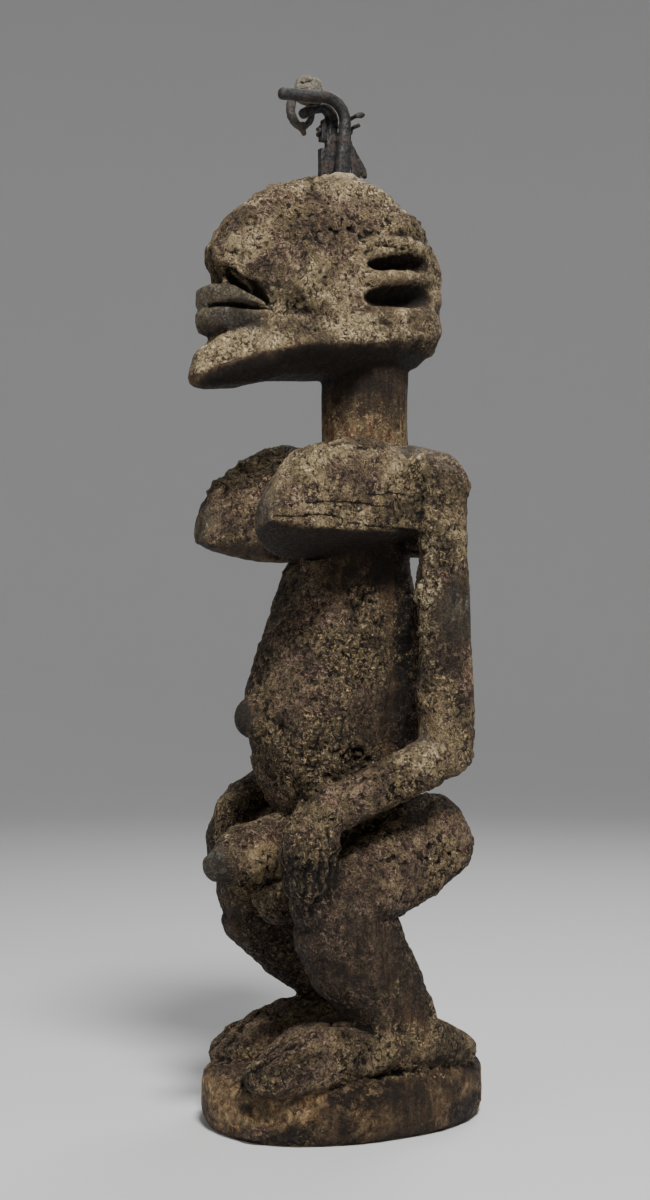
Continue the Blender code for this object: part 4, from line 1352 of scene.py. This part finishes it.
def hammered_second_hook(home):
    """The notched blade, with a slot down its upper half, drawn out to a round drooping bar."""
    t = BLADE_HALF_THICKNESS
    x, y = BLADE_X, BLADE_Y
    bend = BLADE_BEND
    lower = block("lower_plate", (x, y + 0.4, 562.5), (2 * t, 11.6, 36), home)
    neck_plate = block("neck_plate", (x, y + 2.4, 580), (2 * t - 0.4, 7.2, 16), home)
    upper = block("upper_plate", (x, y + 0.5, 590), (2 * t, 11.2, 10), home)
    crest = block("crest_plate", (x, y + 1.1, 594.6), (2 * t, 9.4, 8), home, tilt=6)
    stations = [(x, y + 1.6, 590.0, t, 5.0, 2.6)]
    for i, (py, pz) in enumerate(arc(y + 2.8 - bend, BLADE_BAR_Z - bend, bend, 0, 90, 9)):
        blend = i / 9
        stations.append((x, py, pz, t + 0.7 * blend, 4.6 - 1.4 * blend, 2.6 - 0.4 * blend))
    stations += [
        (x, y - 8.5, BLADE_BAR_Z - 1.3, 3.2, 3.2, 2.1),
        (x, y - 13.0, BLADE_BAR_Z - 3.6, 3.2, 3.2, 2.1),
        (x, y - 17.0, BLADE_BAR_Z - 6.2, 3.1, 3.1, 2.1),
    ]
    bar = limb("blade_bar", between(stations, 3), home, count=40)
    blade = joined("blade", [lower, neck_plate, upper, crest, bar], home)
    remeshed(blade, 0.45, 1)
    places, normals = surface(blade.data)
    z = places[:, 2]
    slot_line = BLADE_Y - 0.6 + 0.03 * (z - 585)
    slot_depth = 1.6 * (1 - smooth_step(np.abs(places[:, 1] - slot_line), 0.3, 1.1)) * band(z, 585, 600, 2.0)
    facing = np.abs(normals[:, 0]) > 0.5
    lift(blade.data, places, normals, -slot_depth * facing)
    return hammered(blade, 5.0, 0.22, 91, 0.08)


def wire_path():
    """The wire's course round both shafts and through both eyes. Each knot is (x, y, z, radius)."""
    far = BLADE_X - BLADE_HALF_THICKNESS - 0.5 - WIRE_RADIUS
    front = BLADE_Y - 5.4 - WIRE_RADIUS
    run_y, run_z = PENDANT_WIRE_Y, PENDANT_WIRE_Z
    thick = WIRE_RADIUS
    return [
        (5.2, 9.4, 599.7, 0.9),
        (3.0, 7.9, 599.7, 1.5),
        (0.6, 7.4, 599.5, thick),
        (-4.0, 7.0, 599.3, thick),
        (-9.4, 6.6, 598.8, thick),
        (far + 1.0, 4.5, 597.2, thick),
        (far, 0.0, 595.2, thick),
        (far, -6.0, 593.8, thick),
        (far + 0.9, front + 2.0, 592.6, 1.1),
        (BLADE_X, front + 0.2, 592.2, 1.0),
        (BLADE_X + 2.0, front + 0.7, 590.8, 1.0),
        (BLADE_X, front + 0.2, 589.4, 1.0),
        (far + 0.9, front + 2.0, 589.2, 1.1),
        (far, -6.0, 589.8, thick),
        (far, 0.5, 591.4, thick),
        (far + 1.2, 5.0, 592.4, thick),
        (far + 3.6, run_y, run_z, thick),
        (-5.0, run_y, run_z, thick),
        (0, run_y, run_z, thick),
        (2.6, run_y + 0.8, run_z + 0.4, thick),
        (4.4, run_y + 2.6, run_z + 1.4, thick),
    ]


def detailed_ring(home):
    """The wire wound round both shafts, with one end beaten to a small leaf."""
    run = wire("ring_wire", wire_path(), home)
    leaf = ball("ring_leaf", (4.6, 9.2, 599.8), (1.0, 3.6, 1.9), home, tilt=18)
    made = joined("ring", [run, leaf], home)
    skin = remeshed(made, 0.42, 2)
    places, normals = surface(skin)
    lift(skin, places, normals, 0.14 * fractal(places, 2.4, 101, 2))
    return made


def detailed_pendant(name, x, length, tilt, seed, home):
    """A flat forged drop with a low midrib, on its wire eye."""
    outline = [(0.6, 0.8, 0.7), (-2.5, 1.1, 0.95), (-5.5, 1.5, 1.0), (-12, 2.1, 1.2), (-18, 2.7, 1.3)]
    outline += [(-length + 8, 3.1, 1.3), (-length + 4, 3.0, 1.2)]
    outline += [(-length + 1.2, 2.2, 1.0), (-length, 1.0, 0.6)]
    rings = []
    for drop, half_depth, half_thickness in outline:
        oval = power_oval(half_thickness, half_depth, 2.3, 28)
        rings.append([(a, b, drop - EYE_RADIUS) for a, b in oval])
    body = new_object(name + "_body", mesh_of_rings(name + "_body", rings), home)
    bpy.ops.mesh.primitive_torus_add(
        major_radius=EYE_RADIUS * MM,
        minor_radius=EYE_WIRE_RADIUS * MM,
        major_segments=40,
        minor_segments=14,
        rotation=(0, math.pi / 2, 0),
    )
    made = joined(name, [body, bpy.context.object], home)
    skin = remeshed(made, 0.36, 2)
    places, normals = surface(skin)
    rib = 0.35 * (1 - smooth_step(np.abs(places[:, 1]), 0.3, 1.4)) * (places[:, 2] < -8)
    marks = -0.3 * np.abs(cell_noise(places, 3.0, seed)) + 0.1 * fractal(places, 1.4, seed + 2, 2)
    lift(skin, places, normals, rib + marks)
    skin.transform(Matrix.Rotation(math.radians(tilt), 4, "X"))
    skin.transform(Matrix.Translation(Vector((x, PENDANT_WIRE_Y, PENDANT_WIRE_Z)) * MM))
    return made


def detailed_packing(home):
    """Hardened paste mounded round both tangs and over the rim of the socket."""
    y = SOCKET_Y
    levels = [
        (542, y - 12.4, y + 12.4, 12.4, 2.0),
        (553, y - 13.4, y + 13.4, 13.4, 2.0),
        (556.2, y - 17.5, y + 16.0, 16.5, 2.0),
        (558.6, y - 17.0, y + 15.5, 16.0, 2.0),
        (560.4, y - 12.5, y + 12.0, 12.5, 2.0),
        (561.6, y - 8.0, y + 9.5, 9.0, 2.0),
    ]
    made = level_loft("packing", levels, home)
    skin = remeshed(made, 0.8, 4)
    places, normals = surface(skin)
    top = smooth_step(places[:, 2], 554, 558)
    height = top * (0.9 * fractal(places, 6.0, 111, 4) + 0.5 * np.abs(cell_noise(places, 2.2, 117)))
    lift(skin, places, normals, height)
    return made


def detailed_packet(home):
    """A lumpy hide packet folded over the bar, with an open seam near its top."""
    x, y, z = PACKET_CENTRE
    a, b, c = PACKET_HALF_SIZE
    levels = ((-1, 0.62, 0.6), (-0.8, 0.86, 0.4), (-0.3, 1.0, 0))
    levels += ((0.3, 0.98, 0.2), (0.75, 0.88, 0.6), (1, 0.62, 0.9))
    rings = []
    for share, spread, lean in levels:
        oval = power_oval(a * spread, b * spread, 3.0, 32)
        rings.append([(x + px, y + lean + py, z + c * share) for px, py in oval])
    made = new_object("packet", mesh_of_rings("packet", rings), home)
    skin = remeshed(made, 0.45, 3)
    places, normals = surface(skin)
    height = 0.6 * cell_noise(places, 7.0, 121) + 0.25 * fractal(places, 2.4, 124, 3)
    seam = [(y - 7.5, z + 3.2), (y - 4.6, z + 2.0), (y - 3.0, z + 3.8), (y + 0.5, z + 5.0)]
    flat = places[:, 1:] + 0.5 * np.stack([cell_noise(places, 2.0, 127), cell_noise(places, 2.0, 128)], 1)
    reach, _ = polyline_distance(flat, seam)
    height -= 1.1 * (1 - smooth_step(reach, 0.2, 1.1)) * (normals[:, 0] > 0.2)
    notch = 1 - smooth_step(np.abs(places[:, 1] - (y + 3.0)), 0.4, 1.6)
    height -= 0.9 * notch * smooth_step(places[:, 2], z + 6, z + 8)
    lift(skin, places, normals, height - 0.15)
    return made


def detailed_strap(home):
    """The dried strap under the packet: a thick band, broad in front, with its knotted end below."""
    x, y, z = STRAP_MIDDLE
    rows = []
    work = bmesh.new()
    count, sides = 72, 16
    for i in range(count):
        around = 2 * math.pi * i / count
        outward = Vector((0, math.cos(around), math.sin(around)))
        middle = Vector((x, y + STRAP_HALF_DEPTH * outward.y, z + STRAP_HALF_HEIGHT * outward.z))
        front = max(0.0, -outward.y)
        row = []
        for px, py in power_oval(2.0 + 0.9 * front, 1.9 + 0.7 * front, 2.8, sides):
            row.append(work.verts.new((middle + Vector((px, 0, 0)) + outward * py) * MM))
        rows.append(row)
    for i in range(count):
        for k in range(sides):
            ahead, beside = (i + 1) % count, (k + 1) % sides
            work.faces.new((rows[i][k], rows[ahead][k], rows[ahead][beside], rows[i][beside]))
    loop = new_object("strap_band", finished_mesh("strap_band", work), home)
    low = z - STRAP_HALF_HEIGHT
    knot = [
        (x, y - 0.2, low + 0.8, 2.6, 2.6, 2.2),
        (x, y + 0.6, low - 1.2, 2.3, 2.3, 2.2),
        (x, y + 1.4, low - 3.0, 1.7, 1.5, 2.4),
        (x, y + 2.0, low - 4.4, 1.6, 1.3, 3.0),
    ]
    made = joined("strap", [loop, limb("strap_stub", knot, home, count=20)], home)
    skin = remeshed(made, 0.4, 2)
    places, normals = surface(skin)
    lift(skin, places, normals, 0.35 * cell_noise(places, 4.0, 131) + 0.18 * fractal(places, 1.8, 134, 3))
    return made


# ---------------------------------------------------------------- studio

# Sizes in metres, lights in watts.
FLOOR_RADIUS = 2.2
FLOOR_SIDES = 96
FLOOR_COLOUR = (0.68, 0.68, 0.68)
WALL_CURVE = 1.6
WALL_HEIGHT = 3.4

# Each light: its name, place, size and power.
LIGHTS = (
    ("key_light", (0.95, -0.3, 1.75), 0.42, 46.0),
    ("back_light", (-0.6, 0.9, 1.5), 0.7, 9.0),
    ("fill_light", (0.3, -1.6, 0.9), 0.9, 3.5),
)
LIGHT_AIM_HEIGHT = 0.33
ROOM_LIGHT = 0.15

CAMERA_TURN = 30.0
CAMERA_DISTANCE = 1.02
CAMERA_HEIGHT = 0.265
CAMERA_OFFSET = 0.0108


def paper_floor():
    """A pale floor that curves up into a wall all round."""
    profile = [(FLOOR_RADIUS, 0.0)]
    for i in range(1, 9):
        turn = math.radians(90 * i / 8)
        out, rise = WALL_CURVE * math.sin(turn), WALL_CURVE * (1 - math.cos(turn))
        profile.append((FLOOR_RADIUS + out, rise))
    profile.append((FLOOR_RADIUS + WALL_CURVE, WALL_HEIGHT))
    work = bmesh.new()
    angles = [2 * math.pi * i / FLOOR_SIDES for i in range(FLOOR_SIDES)]
    centre = work.verts.new((0, 0, 0))
    rows = []
    for radius, height in profile:
        rows.append([work.verts.new((radius * math.cos(a), radius * math.sin(a), height)) for a in angles])
    for i in range(FLOOR_SIDES):
        j = (i + 1) % FLOOR_SIDES
        work.faces.new((centre, rows[0][i], rows[0][j]))
        for lower, upper in zip(rows, rows[1:]):
            work.faces.new((lower[i], upper[i], upper[j], lower[j]))
    mesh = finished_mesh("floor", work)
    mesh.shade_smooth()
    paper = Look("pale_paper", 0.95)
    paper.shader.inputs["Base Color"].default_value = (*FLOOR_COLOUR, 1)
    mesh.materials.append(paper.material)
    return new_object("floor", mesh, bpy.context.scene.collection)


def soft_lights():
    world = bpy.data.worlds.new("soft_room")
    world.use_nodes = True
    world.node_tree.nodes["Background"].inputs["Color"].default_value = (1, 1, 1, 1)
    world.node_tree.nodes["Background"].inputs["Strength"].default_value = ROOM_LIGHT
    bpy.context.scene.world = world
    for name, spot, size, power in LIGHTS:
        light = bpy.data.lights.new(name, "AREA")
        light.shape = "DISK"
        light.size = size
        light.energy = power
        lamp = new_object(name, light, bpy.context.scene.collection)
        lamp.location = spot
        aim = Vector((0, 0, LIGHT_AIM_HEIGHT)) - Vector(spot)
        lamp.rotation_euler = aim.to_track_quat("-Z", "Y").to_euler()


def place_camera():
    """The camera stands level, thirty degrees in front of the figure's left side, a metre away."""
    turn = math.radians(CAMERA_TURN)
    ahead = Vector((-math.cos(turn), math.sin(turn), 0))
    right = Vector((math.sin(turn), math.cos(turn), 0))
    camera = bpy.data.cameras.new("camera")
    camera.lens = 51.0
    camera.sensor_width = 36.0
    camera.shift_y = 0.0608
    camera.clip_start = 0.01
    holder = new_object("camera", camera, bpy.context.scene.collection)
    holder.location = Vector((0, 0, CAMERA_HEIGHT)) - CAMERA_DISTANCE * ahead - CAMERA_OFFSET * right
    holder.rotation_euler = ahead.to_track_quat("-Z", "Y").to_euler()
    bpy.context.scene.camera = holder


# ---------------------------------------------------------------- the whole object

home = bpy.data.collections.new("figure_looks")
bpy.context.scene.collection.children.link(home)
place_camera()
floor = paper_floor()
soft_lights()

wood = crusted_wood()
iron = forged_iron()
paste = libation_paste()
packet_look = dried_hide("packet_hide", (0.19, 0.175, 0.13), (0.07, 0.062, 0.045), (0.16, 0.088, 0.06))
strap_look = dried_hide("strap_hide", (0.085, 0.076, 0.062), (0.022, 0.019, 0.015), (0.12, 0.078, 0.062))

dress(sculpted_carving(home), "figure_wood", wood, "figure", "carved_figure")
dress(detailed_packing(home), "packing", paste, "figure", "crown_packing")
dress(hammered_main_hook(home), "hook_bar", iron, "figure", "main_hook")
dress(hammered_second_hook(home), "hook_blade", iron, "figure", "second_hook")
dress(detailed_ring(home), "wire_hairpin", iron, "figure", "binding_ring")
for node, body, x, length, tilt, seed in PENDANTS:
    drop = detailed_pendant(node + "_look", x, length, tilt, seed, home)
    dress(drop, body + "_iron", iron, body, node)
dress(detailed_packet(home), "packet", packet_look, "figure", "amulet_packet")
dress(detailed_strap(home), "strap", strap_look, "figure", "amulet_loop")
